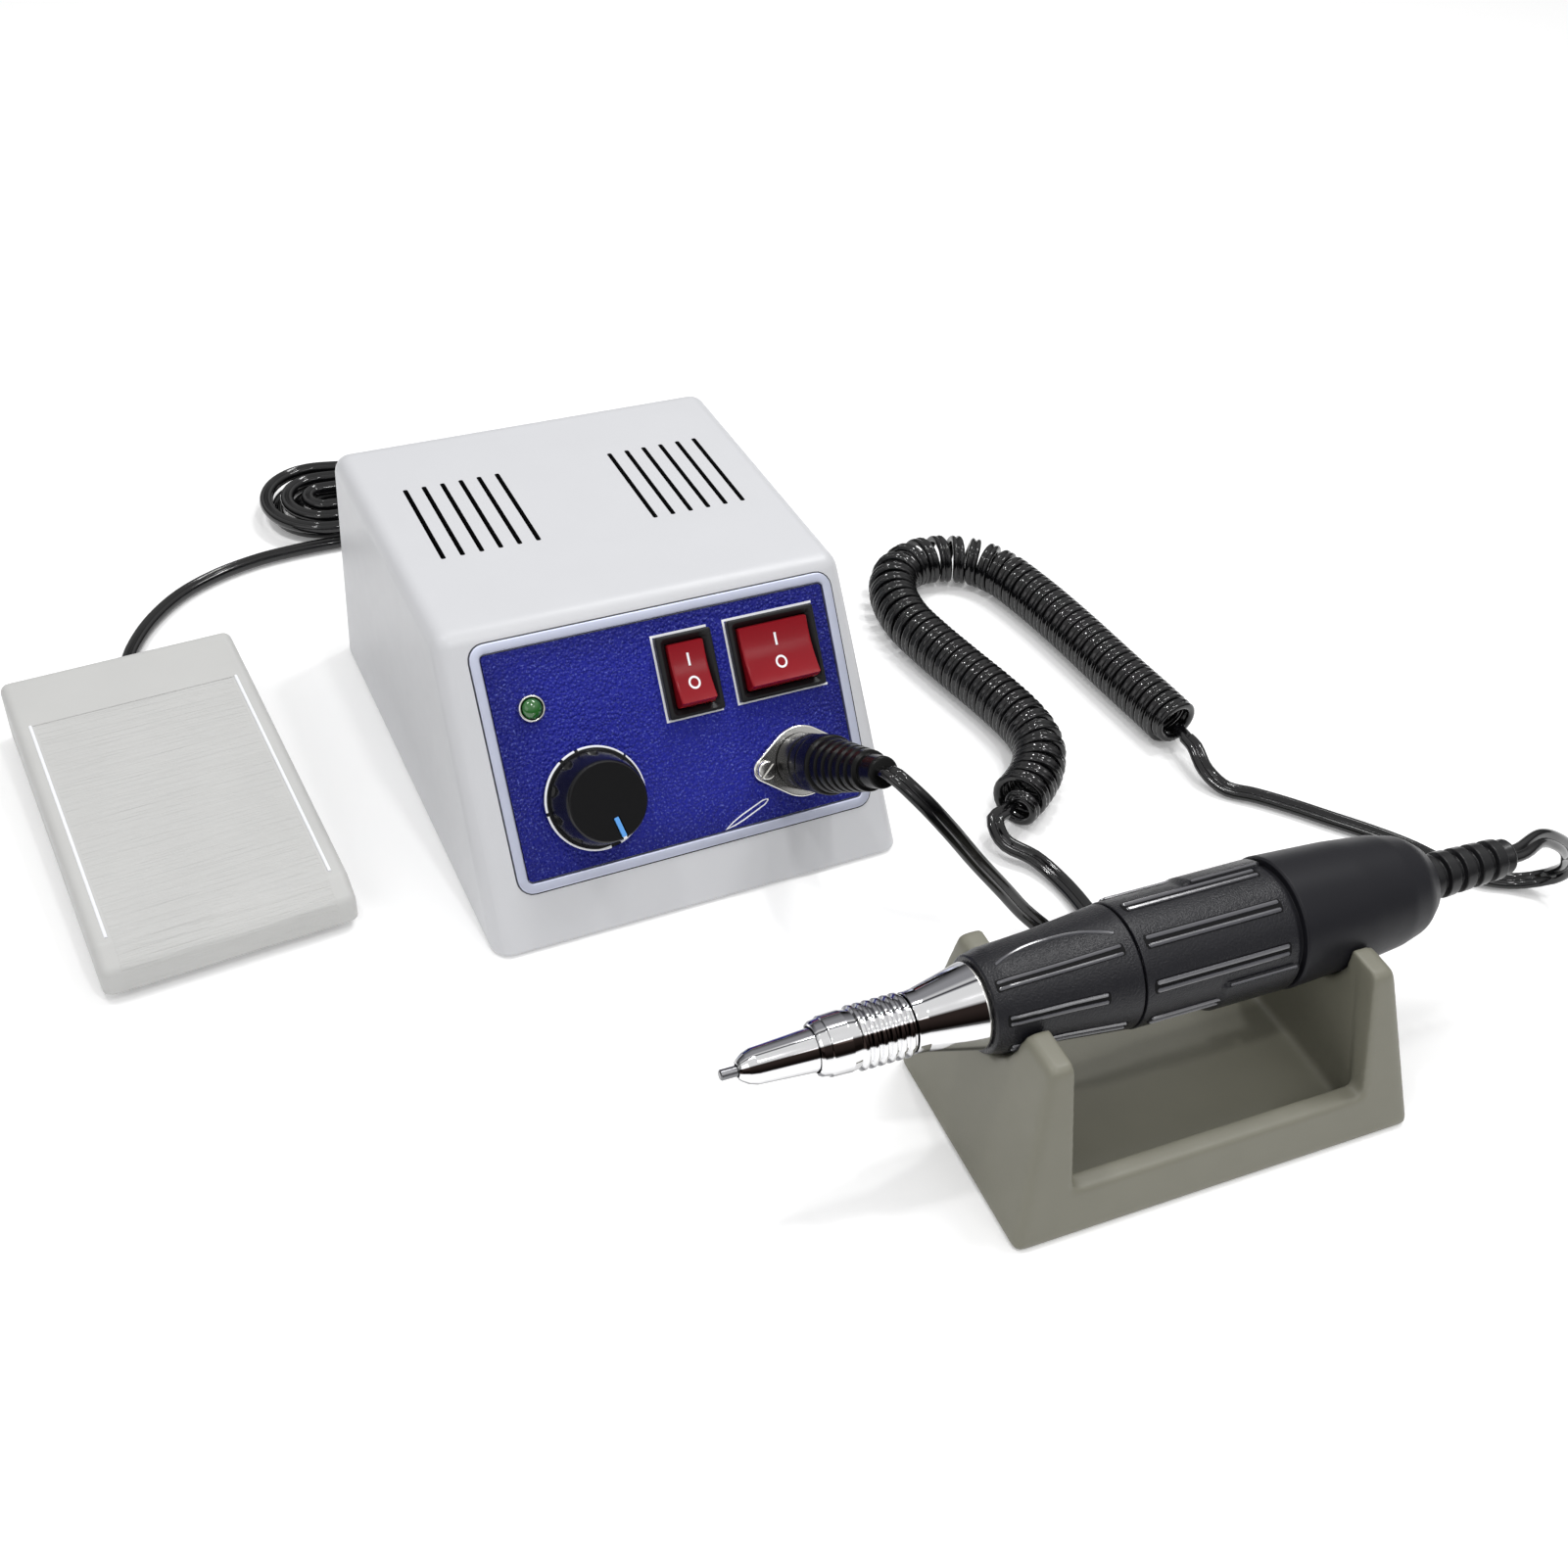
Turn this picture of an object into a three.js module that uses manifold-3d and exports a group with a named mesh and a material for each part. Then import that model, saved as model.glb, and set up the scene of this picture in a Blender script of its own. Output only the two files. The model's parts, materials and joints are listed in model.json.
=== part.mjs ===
// Bench micromotor set: control box, handpiece in its cradle, curly cord and foot pedal.
// Millimetres, +Z up. Places are measured from the front left corner of the box, then the set is centred.
import * as THREE from 'three';
import { mergeVertices } from 'three/addons/utils/BufferGeometryUtils.js';
import Module from 'manifold-3d';

// Fits and shared steps
const CLEARANCE = 0.3;
const OVERRUN = 2;
const TURN_STEPS = 24;
const SMALL_TURN_STEPS = 14;
const HIDDEN_TURN_STEPS = 8;
const CORNER_STEPS = 2;
const HOLE_STEPS = 6;
const HEXAGON = 6;
const RIM_STEPS = 2;

// Control box
const BOX_WIDTH = 112;
const BOX_DEPTH = 139.5;
const BOX_HEIGHT = 66;
const BOX_LEAN = 46;
const BOX_WALL = 2.5;
const BOX_EDGE = 4.5;
const BOX_CORNER = 6;
const SIDE_DRAFT = 1.6;
const FOOT_HEIGHT = 1.2;
const FOOT_RADIUS = 5;
const FOOT_SCREW_RADIUS = 1.5;
const BASE_THICKNESS = 2.5;
const POST_RADIUS = 3.5;
const POST_INSET = 9;
const POST_FRONT = 12.5;
const POST_BORE_DEPTH = 8;
const VENT = { count: 6, pitch: 5.05, width: 1.3, length: 34.5, centre: 28.8, front: 78 };

// Panel on the slope, places as (across, up the slope)
const PANEL = { left: 9.2, bottom: 14.8, width: 97, height: 62.3, corner: 4 };
const TRIM_WIDTH = 2.6;
const TRIM_RISE = 0.6;
const PANEL_THICKNESS = 1;
const RECESS_DEPTH = 1.2;
const LEDGE = 3;
const KNOB = { across: 32.5, up: 34.3, skirt: 13, skirtHeight: 2, waist: 11.9, face: 9.9, height: 12.1 };
const KNOB_FLUTES = { count: 10, radius: 2.6, bite: 0.9, low: 3.2 };
const KNOB_CAVITY = { radius: 7.4, depth: 4.4 };
const KNOB_TURN_AT_REST = -1.333;
const POINTER = { width: 1.5, length: 5.2, depth: 0.8, proud: 0.1 };
const POT = { radius: 8.25, depth: 8, gap: 3, bushing: 4.5, bushingRise: 3.4, nut: 6.4, nutThickness: 1.8 };
const SHAFT_RADIUS = 3;
const POWER_SWITCH = { across: 87.2, up: 59.3, width: 24, height: 21, rockerWidth: 19.1 };
const MODE_SWITCH = { across: 63.1, up: 59.1, width: 15, height: 21, rockerWidth: 9.6 };
const SWITCH = { bezel: 1.8, inset: 1.2, depth: 13, cavity: 4.6 };
const SWITCH_TAB = { width: 4.8, thickness: 0.8, length: 6 };
const ROCKER = { reach: 7.5, rise: 3.2, dish: 1.2, below: 2.4, pivotRise: 0.9, tilt: 0.19 };
const LED = { across: 21.6, up: 59.4, bezel: 3.5, body: 2.95, lens: 2.5, rise: 1.3, dome: 1.6, depth: 7 };
const SOCKET = { across: 88.3, up: 30.6, flange: 9.35, lobe: 3.2, screwSpacing: 10.5, thickness: 1.6 };
const SOCKET_NECK = { radius: 8.1, bore: 6.7, depth: 10, insert: 4 };
const FLANGE_SCREW = { head: 2.5, headHeight: 1.1, shank: 1.3, depth: 6, slotWidth: 0.6 };
const PLUG = { nose: 6.3, noseWall: 1, noseDepth: 5.2, barrel: 7.4, barrelEnd: 14, ridge: 7.6, ridgeEnd: 21 };
const PLUG_BOOT = { front: 6.9, back: 4.6, end: 44, ribs: 6, grooveDepth: 0.7, collar: 4.1, collarEnd: 50 };
const PIN = { radius: 0.75, circle: 3.4, count: 5, reach: 3 };

// Inside the box, depths and places from front to back as shares of the depth of the box
const CORE = { width: 50, depth: 0.2 * BOX_DEPTH, height: 42, limb: 8, left: 22, front: 0.54 * BOX_DEPTH };
const WINDING_BULGE = 0.0645 * BOX_DEPTH;
const BOARD = { width: 78, depth: 0.165 * BOX_DEPTH, thickness: 1.6, left: 17, front: 0.305 * BOX_DEPTH };
const BOARD_POST = { height: 6, radius: 3 };
const CAPACITOR = { radius: 8, height: 25, across: 16 };
const CHIP = { width: 14, depth: 10, height: 6, across: 50 };

// Back wall fittings
const INLET = { across: 32, height: 28, width: 30, tall: 22, flange: 2, body: 2, depth: 20 };
const INLET_CAVITY = { width: 24, tall: 16, depth: 15 };
const INLET_PIN = { width: 2, tall: 4, length: 12, spread: 7, drop: 3 };
const FUSE = { across: 64, height: 28, flange: 7.5, thickness: 2, barrel: 5.8, bore: 4.4, depth: 22 };
const FUSE_CAP = { radius: 6.2, thickness: 4, stem: 3.8, stemLength: 16, slot: 1.2 };
const JACK = { across: 86, height: 22, flange: 6.5, thickness: 2, barrel: 5.2, bore: 3.5, depth: 22 };
const JACK_PLUG = { pin: 3.15, pinLength: 20, body: 5.5, bodyLength: 18, tail: 3.4, tailLength: 7 };

// Cradle, in its own frame: x along the handpiece, y to the back
const CRADLE = { x: 74.4, y: -121.7, turn: -0.0454 };
const CRADLE_WIDTH = 105;
const CRADLE_DEPTH = 58.5;
const CRADLE_HEIGHT = 42;
const CRADLE_END_LEAN = 8.7;
const CRADLE_FRONT_LEAN = 12.9;
const CRADLE_BACK_LEAN = 2.4;
const CRADLE_FLOOR = 2.5;
const CRADLE_WALL = 5;
const CRADLE_CORNER = 2.2;
const CRADLE_RIM = 1.4;
const SILL_HEIGHT = 11.5;
const TROUGH_INSET = { low: 13, high: 14.5 };

// Handpiece, stations along its axis from the bur tip
const AXIS_BACK = 37.1;
const AXIS_HEIGHT = 40;
const TIP_OVERHANG = 55;
const BUR_RADIUS = 1.175;
const BUR_LENGTH = 31;
const NOSE = { start: 3.8, tip: 2.1, shoulderAt: 7.4, shoulder: 3.9, endAt: 20.3, end: 4.75, tail: 40 };
const RING = { lip: 5.7, body: 6.7, ribStart: 29.5, ribs: 6, rib: 7.05, groove: 6.35, end: 42 };
const CONE = { front: 6.7, back: 9.8, end: 57.9, tailRadius: 8.2, tail: 70 };
const SLEEVE = { front: 10.7, lip: 11.7, lipAt: 62, waist: 12.4, waistAt: 75, end: 92.4, back: 14.2 };
const GRIP = { radius: 14.5, end: 131.9, back: 15.2, stepAt: 111, ribs: 6, ribRadius: 0.55, ribLength: 30 };
const CAP = { start: 132.2, front: 15.6, waistAt: 153, waist: 14.6, end: 176.6 };
const CAP_ROUND = { shoulderAt: 165, shoulder: 13.5, middleAt: 172, middle: 11.6, end: 7.6 };
const BOOT = { seat: 5.2, front: 4.9, back: 3.6, end: 202.9, ribs: 6, grooveDepth: 0.8 };
const SPINDLE = { radius: 2.6, start: 16, bore: 1.5, end: 152 };
const MOTOR = { can: 10.5, wall: 1.6, start: 71, end: 158, lid: 2 };
const ROTOR = { radius: 7.6, start: 82, end: 138 };
const BEARING = { frontAt: 61, rearAt: 147, width: 5, frontRadius: 5.5 };

// Foot pedal, in its own frame: y to its cord end
const PEDAL = { x: -88.2, y: 21.6, turn: 0.061 };
const PEDAL_DEPTH = 108;
const PEDAL_FRONT_HEIGHT = 9.4;
const PEDAL_LIP_HEIGHT = 13.2;
const PEDAL_LIP_DEPTH = 6.5;
const PEDAL_BACK_HEIGHT = 19.6;
const PEDAL_END_LEAN = 1;
const PEDAL_WALL = 2.2;
const PEDAL_EDGE = 3;
const PEDAL_ROUND = 4;
const SKIRT_GAP = 3;
const PEDAL_BASE = 2.4;
const PEDAL_PLAY = 0.6;
const HINGE = {
  radius: 1.6, back: 9, height: 9.5, lugWidth: 5, lugRadius: 3.6, postWidth: 4, span: 20, play: 1.45,
};
const HINGE_REACH = HINGE.span + HINGE.lugWidth / 2 + 2 * CLEARANCE + HINGE.postWidth;
const PEDAL_WIDTH = 2 * (HINGE_REACH + HINGE.play + PEDAL_WALL);
const SPRING = { turns: 4, wire: 1, gap: 1.3 };
const MICROSWITCH = { width: 20, depth: 6.4, height: 7, button: 1.2, back: 34 };
const GLAND = { radius: 3.1, length: 10, height: 4.4, proud: 1 };

// Cords
const CORD_RADIUS = 2.1;
const CORD_SIDES = 8;
const STEP_DIAMETERS = 2;
const FLOOR_LINE = 2.4;
const CURL = { radius: 7.5, axisHeight: 7.6, width: 4.3, thickness: 2.2, gap: 0.65, steps: 8, sides: 5 };
const HANK = { x: 37, y: 211, halfLength: 45, halfWidth: 20.5, loops: 6, steps: 24, sides: 5, gap: 0.6 };
const WAIST_SHARE = 0.74;
const TIE = { width: 5, thickness: 1.4 };

// Finishes as colour, roughness and metalness
const finishes = {
  white: ['#e6e7ea', 0.5, 0],
  paleGrey: ['#d9d9d6', 0.55, 0],
  khaki: ['#8f8d7a', 0.5, 0],
  blue: ['#1d1f8f', 0.55, 0],
  silver: ['#b9bcc6', 0.35, 0.8],
  chrome: ['#d5d5d5', 0.1, 1],
  steel: ['#9a9a9c', 0.35, 1],
  brass: ['#b08d4a', 0.35, 1],
  copper: ['#8a4b2b', 0.45, 0.6],
  black: ['#17171a', 0.5, 0],
  rubber: ['#111112', 0.75, 0],
  red: ['#a3182a', 0.35, 0],
  lightBlue: ['#5b9be0', 0.5, 0],
  green: ['#2f8f3a', 0.2, 0],
  board: ['#1f5a34', 0.6, 0],
};

const wasm = await Module();
wasm.setup();

// Solids
function facingOut(geometry) {
  const merged = mergeVertices(bare(geometry));
  const position = merged.attributes.position;
  const index = merged.index.array;
  const [a, b, c] = [new THREE.Vector3(), new THREE.Vector3(), new THREE.Vector3()];
  let volume = 0;
  for (let i = 0; i < index.length; i += 3) {
    a.fromBufferAttribute(position, index[i]);
    b.fromBufferAttribute(position, index[i + 1]);
    c.fromBufferAttribute(position, index[i + 2]);
    volume += a.dot(b.cross(c));
  }
  if (volume < 0) {
    for (let i = 0; i < index.length; i += 3) [index[i + 1], index[i + 2]] = [index[i + 2], index[i + 1]];
  }
  return merged;
}

function bare(geometry) {
  const copy = geometry.clone();
  copy.deleteAttribute('normal');
  copy.deleteAttribute('uv');
  return copy;
}

function solid(shape) {
  if (!shape.isBufferGeometry) return shape;
  const merged = mergeVertices(bare(shape));
  const vertProperties = Float32Array.from(merged.attributes.position.array);
  const triVerts = Uint32Array.from(merged.index.array);
  return new wasm.Manifold(new wasm.Mesh({ numProp: 3, vertProperties, triVerts }));
}

function join(first, ...others) {
  return others.reduce((whole, other) => whole.add(solid(other)), solid(first));
}

function cut(first, ...others) {
  return others.reduce((whole, other) => whole.subtract(solid(other)), solid(first));
}

function geometryOf(shape) {
  if (shape.isBufferGeometry) return shape;
  const mesh = shape.getMesh();
  const geometry = new THREE.BufferGeometry();
  geometry.setAttribute('position', new THREE.BufferAttribute(Float32Array.from(mesh.vertProperties), 3));
  geometry.setIndex(new THREE.BufferAttribute(Uint32Array.from(mesh.triVerts), 1));
  geometry.computeVertexNormals();
  return geometry;
}

function piece(parent, name, shape, finish) {
  const [color, roughness, metalness] = finishes[finish];
  const material = new THREE.MeshStandardMaterial({ color, roughness, metalness });
  const mesh = new THREE.Mesh(geometryOf(shape), material);
  mesh.name = name;
  parent.add(mesh);
  return mesh;
}

// Basic shapes
const X_AXIS = new THREE.Vector3(1, 0, 0);
const Y_AXIS = new THREE.Vector3(0, 1, 0);
const Z_AXIS = new THREE.Vector3(0, 0, 1);
const SIDE_VIEW = new THREE.Matrix4().makeBasis(Y_AXIS, Z_AXIS, X_AXIS);

function box(x0, x1, y0, y1, z0, z1) {
  const geometry = new THREE.BoxGeometry(x1 - x0, y1 - y0, z1 - z0);
  return geometry.translate((x0 + x1) / 2, (y0 + y1) / 2, (z0 + z1) / 2);
}

function rod(radius, z0, z1, sides = SMALL_TURN_STEPS) {
  const geometry = new THREE.CylinderGeometry(radius, radius, z1 - z0, sides);
  return geometry.rotateX(Math.PI / 2).translate(0, 0, (z0 + z1) / 2);
}

// A turned solid about z from points of height and radius.
function turned(points, sides = TURN_STEPS) {
  const profile = points.map(([height, radius]) => new THREE.Vector2(radius, height));
  return facingOut(new THREE.LatheGeometry(profile, sides).rotateX(Math.PI / 2));
}

// A turned ring or tube, whose points close on themselves.
function turnedRing(points, sides = TURN_STEPS) {
  return turned([...points, points[0]], sides);
}

function alongX(geometry) {
  return geometry.rotateY(Math.PI / 2);
}

function alongY(geometry) {
  return geometry.rotateX(-Math.PI / 2);
}

function at(geometry, x, y, z = 0) {
  return geometry.translate(x, y, z);
}

function inwards(corner, before, after) {
  const toBefore = before.clone().sub(corner).normalize();
  const toAfter = after.clone().sub(corner).normalize();
  const half = Math.acos(toBefore.dot(toAfter)) / 2;
  return { toBefore, toAfter, step: toBefore.clone().add(toAfter).normalize().divideScalar(Math.sin(half)) };
}

// The corners of an outline pushed in by one distance all round.
function insetCorners(corners, distance) {
  return corners.map((corner, index) => {
    const { step } = inwards(corner, corners.at(index - 1), corners[(index + 1) % corners.length]);
    return step.multiplyScalar(distance).add(corner);
  });
}

function roundedOutline(corners, radii) {
  const shape = new THREE.Shape();
  corners.forEach((corner, index) => {
    const after = corners[(index + 1) % corners.length];
    const { toBefore, toAfter, step } = inwards(corner, corners.at(index - 1), after);
    const centre = step.multiplyScalar(radii[index]).add(corner);
    const start = Math.atan2(toBefore.x, -toBefore.y);
    const end = Math.atan2(-toAfter.x, toAfter.y);
    shape.absarc(centre.x, centre.y, radii[index], start, end, false);
  });
  return shape;
}

function rectangle(x0, x1, y0, y1, radius) {
  const corners = [[x0, y0], [x1, y0], [x1, y1], [x0, y1]].map(([x, y]) => new THREE.Vector2(x, y));
  return roundedOutline(corners, corners.map(() => radius));
}

function plate(shape, z0, z1) {
  const options = { depth: z1 - z0, bevelEnabled: false, curveSegments: CORNER_STEPS };
  return new THREE.ExtrudeGeometry(shape, options).translate(0, 0, z0);
}

function softPlate(shape, z0, z1, edge) {
  const options = { depth: z1 - z0 - 2 * edge, curveSegments: CORNER_STEPS, bevelSegments: RIM_STEPS };
  Object.assign(options, { bevelThickness: edge, bevelSize: edge, bevelOffset: -edge });
  return new THREE.ExtrudeGeometry(shape, options).translate(0, 0, z0 + edge);
}

// A block from its side view, y and z, with all its edges softened.
function sideBlock(corners, radii, x0, x1, edge) {
  return softPlate(roundedOutline(corners, radii), x0, x1, edge).applyMatrix4(SIDE_VIEW);
}

// A block whose sides run from the low rectangle to the high one.
function leaningBlock(low, high, corner, rim) {
  const width = low.x1 - low.x0;
  const depth = low.y1 - low.y0;
  const height = high.z - low.z;
  const geometry = softPlate(rectangle(0, width, 0, depth, corner), 0, height, rim);
  const position = geometry.attributes.position;
  for (let i = 0; i < position.count; i++) {
    const rise = position.getZ(i) / height;
    const across = position.getX(i) / width;
    const back = position.getY(i) / depth;
    const left = THREE.MathUtils.lerp(low.x0, high.x0, rise);
    const right = THREE.MathUtils.lerp(low.x1, high.x1, rise);
    const front = THREE.MathUtils.lerp(low.y0, high.y0, rise);
    const rear = THREE.MathUtils.lerp(low.y1, high.y1, rise);
    const x = THREE.MathUtils.lerp(left, right, across);
    position.setXYZ(i, x, THREE.MathUtils.lerp(front, rear, back), position.getZ(i) + low.z);
  }
  return geometry;
}

// Swept tubes
function sweep(rings) {
  const sides = rings[0].length;
  const positions = rings.flat().flatMap((point) => point.toArray());
  const index = [];
  for (let ring = 0; ring + 1 < rings.length; ring++) {
    for (let side = 0; side < sides; side++) {
      const a = ring * sides + side;
      const b = ring * sides + (side + 1) % sides;
      index.push(a, b, b + sides, a, b + sides, a + sides);
    }
  }
  const last = (rings.length - 1) * sides;
  for (let side = 1; side + 1 < sides; side++) {
    index.push(0, side + 1, side, last, last + side, last + side + 1);
  }
  const geometry = new THREE.BufferGeometry();
  geometry.setAttribute('position', new THREE.Float32BufferAttribute(positions, 3));
  geometry.setIndex(index);
  return facingOut(geometry);
}

// Least distance between rings of a tube that are further apart along it than the stated steps.
function leastGap(rings, apart) {
  let least = Infinity;
  for (let i = 0; i < rings.length; i++) {
    for (let j = i + apart; j < rings.length; j++) {
      for (const a of rings[i]) {
        for (const b of rings[j]) least = Math.min(least, a.distanceTo(b));
      }
    }
  }
  return least;
}

function tube(points) {
  const curve = new THREE.CatmullRomCurve3(points, false, 'centripetal');
  const shape = new THREE.Shape();
  for (let side = 0; side < CORD_SIDES; side++) {
    const angle = (side + 0.5) * 2 * Math.PI / CORD_SIDES;
    const [x, y] = [CORD_RADIUS * Math.cos(angle), CORD_RADIUS * Math.sin(angle)];
    if (side === 0) shape.moveTo(x, y);
    else shape.lineTo(x, y);
  }
  const steps = Math.round(curve.getLength() / (STEP_DIAMETERS * 2 * CORD_RADIUS));
  const geometry = new THREE.ExtrudeGeometry(shape, { steps, bevelEnabled: false, extrudePath: curve });
  return { geometry: facingOut(geometry), length: curve.getLength() };
}

function toPoints(list) {
  return list.map(([x, y, z]) => new THREE.Vector3(x, y, z));
}

// The places where the pieces stand
const set = new THREE.Group();
const SLOPE_ANGLE = Math.atan2(BOX_HEIGHT, BOX_LEAN);
const SLOPE_MATRIX = new THREE.Matrix4().makeRotationX(SLOPE_ANGLE);
const PANEL_TOP = PANEL_THICKNESS + CLEARANCE - RECESS_DEPTH;
const panel = new THREE.Group();
panel.rotation.x = SLOPE_ANGLE;
set.add(panel);

function panelGroup({ across, up }, height = 0) {
  const group = new THREE.Group();
  group.position.set(across, up, height);
  panel.add(group);
  return group;
}

// Housing of the control box
const BASE_TOP = FOOT_HEIGHT + BASE_THICKNESS;
const screwHole = FOOT_SCREW_RADIUS + CLEARANCE;
const POST_PLACES = [POST_INSET, BOX_WIDTH - POST_INSET].flatMap((x) => [POST_FRONT, BOX_DEPTH - POST_INSET]
  .map((y) => [x, y]));

function boxCorners(low) {
  const slopeAt = (z) => z * BOX_LEAN / BOX_HEIGHT;
  const corners = [[slopeAt(low), low], [BOX_DEPTH, low], [BOX_DEPTH, BOX_HEIGHT], [BOX_LEAN, BOX_HEIGHT]];
  return corners.map(([y, z]) => new THREE.Vector2(y, z));
}

function drafted(geometry) {
  const position = geometry.attributes.position;
  const middle = BOX_WIDTH / 2;
  for (let i = 0; i < position.count; i++) {
    const narrowing = 1 - SIDE_DRAFT / middle * position.getZ(i) / BOX_HEIGHT;
    position.setX(i, middle + (position.getX(i) - middle) * narrowing);
  }
  return geometry;
}

function panelOutline(margin) {
  const { left, bottom, width, height, corner } = PANEL;
  const [right, top] = [left + width, bottom + height];
  return rectangle(left + margin, right - margin, bottom + margin, top - margin, corner - margin / 2);
}

function postHoles(top) {
  return POST_PLACES.map(([x, y]) => at(rod(screwHole, 0, top, HIDDEN_TURN_STEPS), x, y));
}

function makeHousing() {
  const low = -2 * BOX_CORNER;
  const outline = boxCorners(low);
  const outer = drafted(sideBlock(outline, outline.map(() => BOX_CORNER), 0, BOX_WIDTH, BOX_EDGE));
  const inset = insetCorners(outline, BOX_WALL);
  const innerCorner = BOX_CORNER - BOX_WALL;
  const innerEdge = BOX_EDGE - BOX_WALL;
  const inner = sideBlock(inset, inset.map(() => innerCorner), BOX_WALL, BOX_WIDTH - BOX_WALL, innerEdge);
  const below = box(-OVERRUN, BOX_WIDTH + OVERRUN, 2 * low, BOX_DEPTH + OVERRUN, 2 * low, FOOT_HEIGHT);
  const whole = solid(outer);
  const postBlank = rod(POST_RADIUS, BASE_TOP, BOX_HEIGHT, HIDDEN_TURN_STEPS);
  const posts = POST_PLACES.map(([x, y]) => solid(at(postBlank.clone(), x, y)).intersect(whole));
  const shell = join(cut(whole, drafted(inner)), ...posts);
  const bores = postHoles(BASE_TOP + POST_BORE_DEPTH);
  const recess = plate(panelOutline(-CLEARANCE), -RECESS_DEPTH, OVERRUN).applyMatrix4(SLOPE_MATRIX);
  const window = plate(panelOutline(TRIM_WIDTH + LEDGE), -2 * BOX_WALL, OVERRUN).applyMatrix4(SLOPE_MATRIX);
  return cut(shell, below, ...bores, recess, window, ...ventCutters(), ...backCutters());
}

function ventCutters() {
  const { count, pitch, width, length, centre, front } = VENT;
  const cutters = [];
  const reach = [front, front + length, BOX_HEIGHT - 2 * BOX_WALL, BOX_HEIGHT + OVERRUN];
  for (const side of [-1, 1]) {
    for (let slot = 0; slot < count; slot++) {
      const x = BOX_WIDTH / 2 + side * centre + (slot - (count - 1) / 2) * pitch;
      cutters.push(box(x - width / 2, x + width / 2, ...reach));
    }
  }
  return cutters;
}

function backCutters() {
  const reach = [BOX_DEPTH - BOX_WALL - OVERRUN, BOX_DEPTH + OVERRUN];
  const halfWidth = INLET.width / 2 - INLET.body + CLEARANCE;
  const halfTall = INLET.tall / 2 - INLET.body + CLEARANCE;
  const { across, height } = INLET;
  const inlet = box(across - halfWidth, across + halfWidth, ...reach, height - halfTall, height + halfTall);
  const fuse = at(alongY(rod(FUSE.barrel + CLEARANCE, ...reach)), FUSE.across, 0, FUSE.height);
  const jack = at(alongY(rod(JACK.barrel + CLEARANCE, ...reach)), JACK.across, 0, JACK.height);
  return [inlet, fuse, jack];
}

piece(set, 'housing_shell', makeHousing(), 'white');

function makeBase() {
  const side = BOX_WALL + CLEARANCE;
  const slopeShift = BOX_WALL / Math.sin(SLOPE_ANGLE) + BASE_TOP * BOX_LEAN / BOX_HEIGHT;
  const draft = SIDE_DRAFT * BASE_TOP / BOX_HEIGHT;
  const [left, right] = [side + draft, BOX_WIDTH - side - draft];
  const outline = rectangle(left, right, slopeShift + CLEARANCE, BOX_DEPTH - side, BOX_EDGE - BOX_WALL);
  const floor = plate(outline, FOOT_HEIGHT, BASE_TOP);
  const posts = [];
  for (const x of [BOARD_POST.radius, BOARD.width - BOARD_POST.radius]) {
    for (const y of [BOARD_POST.radius, BOARD.depth - BOARD_POST.radius]) {
      const post = rod(BOARD_POST.radius, FOOT_HEIGHT, BASE_TOP + BOARD_POST.height, HIDDEN_TURN_STEPS);
      posts.push(at(post, BOARD.left + x, BOARD.front + y));
    }
  }
  return join(cut(floor, ...postHoles(BASE_TOP + OVERRUN)), ...posts);
}

piece(set, 'base_plate', makeBase(), 'black');

POST_PLACES.forEach(([x, y], index) => {
  const screwEnd = BASE_TOP + POST_BORE_DEPTH - 2 * CLEARANCE;
  const profile = [[0, 0], [0, FOOT_RADIUS], [FOOT_HEIGHT, FOOT_RADIUS], [FOOT_HEIGHT, FOOT_SCREW_RADIUS]];
  const foot = turned([...profile, [screwEnd, FOOT_SCREW_RADIUS], [screwEnd, 0]], HIDDEN_TURN_STEPS);
  piece(set, `foot_${index + 1}`, at(foot, x, y), 'rubber');
});

// Panel and its trim
function roundHole(shape, x, y, radius) {
  shape.holes.push(new THREE.Path().absarc(x, y, radius, 0, 2 * Math.PI, false));
}

function switchOpening(part, grow) {
  const halfWidth = part.width / 2 - SWITCH.inset + grow;
  const halfHeight = part.height / 2 - SWITCH.inset + grow;
  const [x, y] = [part.across, part.up];
  return rectangle(x - halfWidth, x + halfWidth, y - halfHeight, y + halfHeight, CLEARANCE);
}

function makePanelPlate() {
  const shape = new THREE.Shape(panelOutline(TRIM_WIDTH + CLEARANCE).getPoints(CORNER_STEPS));
  roundHole(shape, KNOB.across, KNOB.up, POT.bushing + CLEARANCE);
  roundHole(shape, LED.across, LED.up, LED.body + CLEARANCE);
  roundHole(shape, SOCKET.across, SOCKET.up, SOCKET_NECK.radius + CLEARANCE);
  for (const side of [-1, 1]) {
    roundHole(shape, SOCKET.across + side * SOCKET.screwSpacing, SOCKET.up, FLANGE_SCREW.shank + CLEARANCE);
  }
  for (const part of [POWER_SWITCH, MODE_SWITCH]) {
    shape.holes.push(new THREE.Path(switchOpening(part, CLEARANCE).getPoints(CORNER_STEPS)));
  }
  const options = { depth: PANEL_THICKNESS, bevelEnabled: false, curveSegments: HOLE_STEPS };
  return new THREE.ExtrudeGeometry(shape, options).translate(0, 0, PANEL_TOP - PANEL_THICKNESS);
}

const trim = panelOutline(0);
trim.holes.push(new THREE.Path(panelOutline(TRIM_WIDTH).getPoints(CORNER_STEPS)));
piece(panel, 'panel_trim', plate(trim, CLEARANCE - RECESS_DEPTH, TRIM_RISE), 'silver');
piece(panel, 'front_panel', makePanelPlate(), 'blue');

// Speed knob and its potentiometer
const knobPlace = panelGroup(KNOB, PANEL_TOP);
knobPlace.rotation.z = KNOB_TURN_AT_REST;

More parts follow.
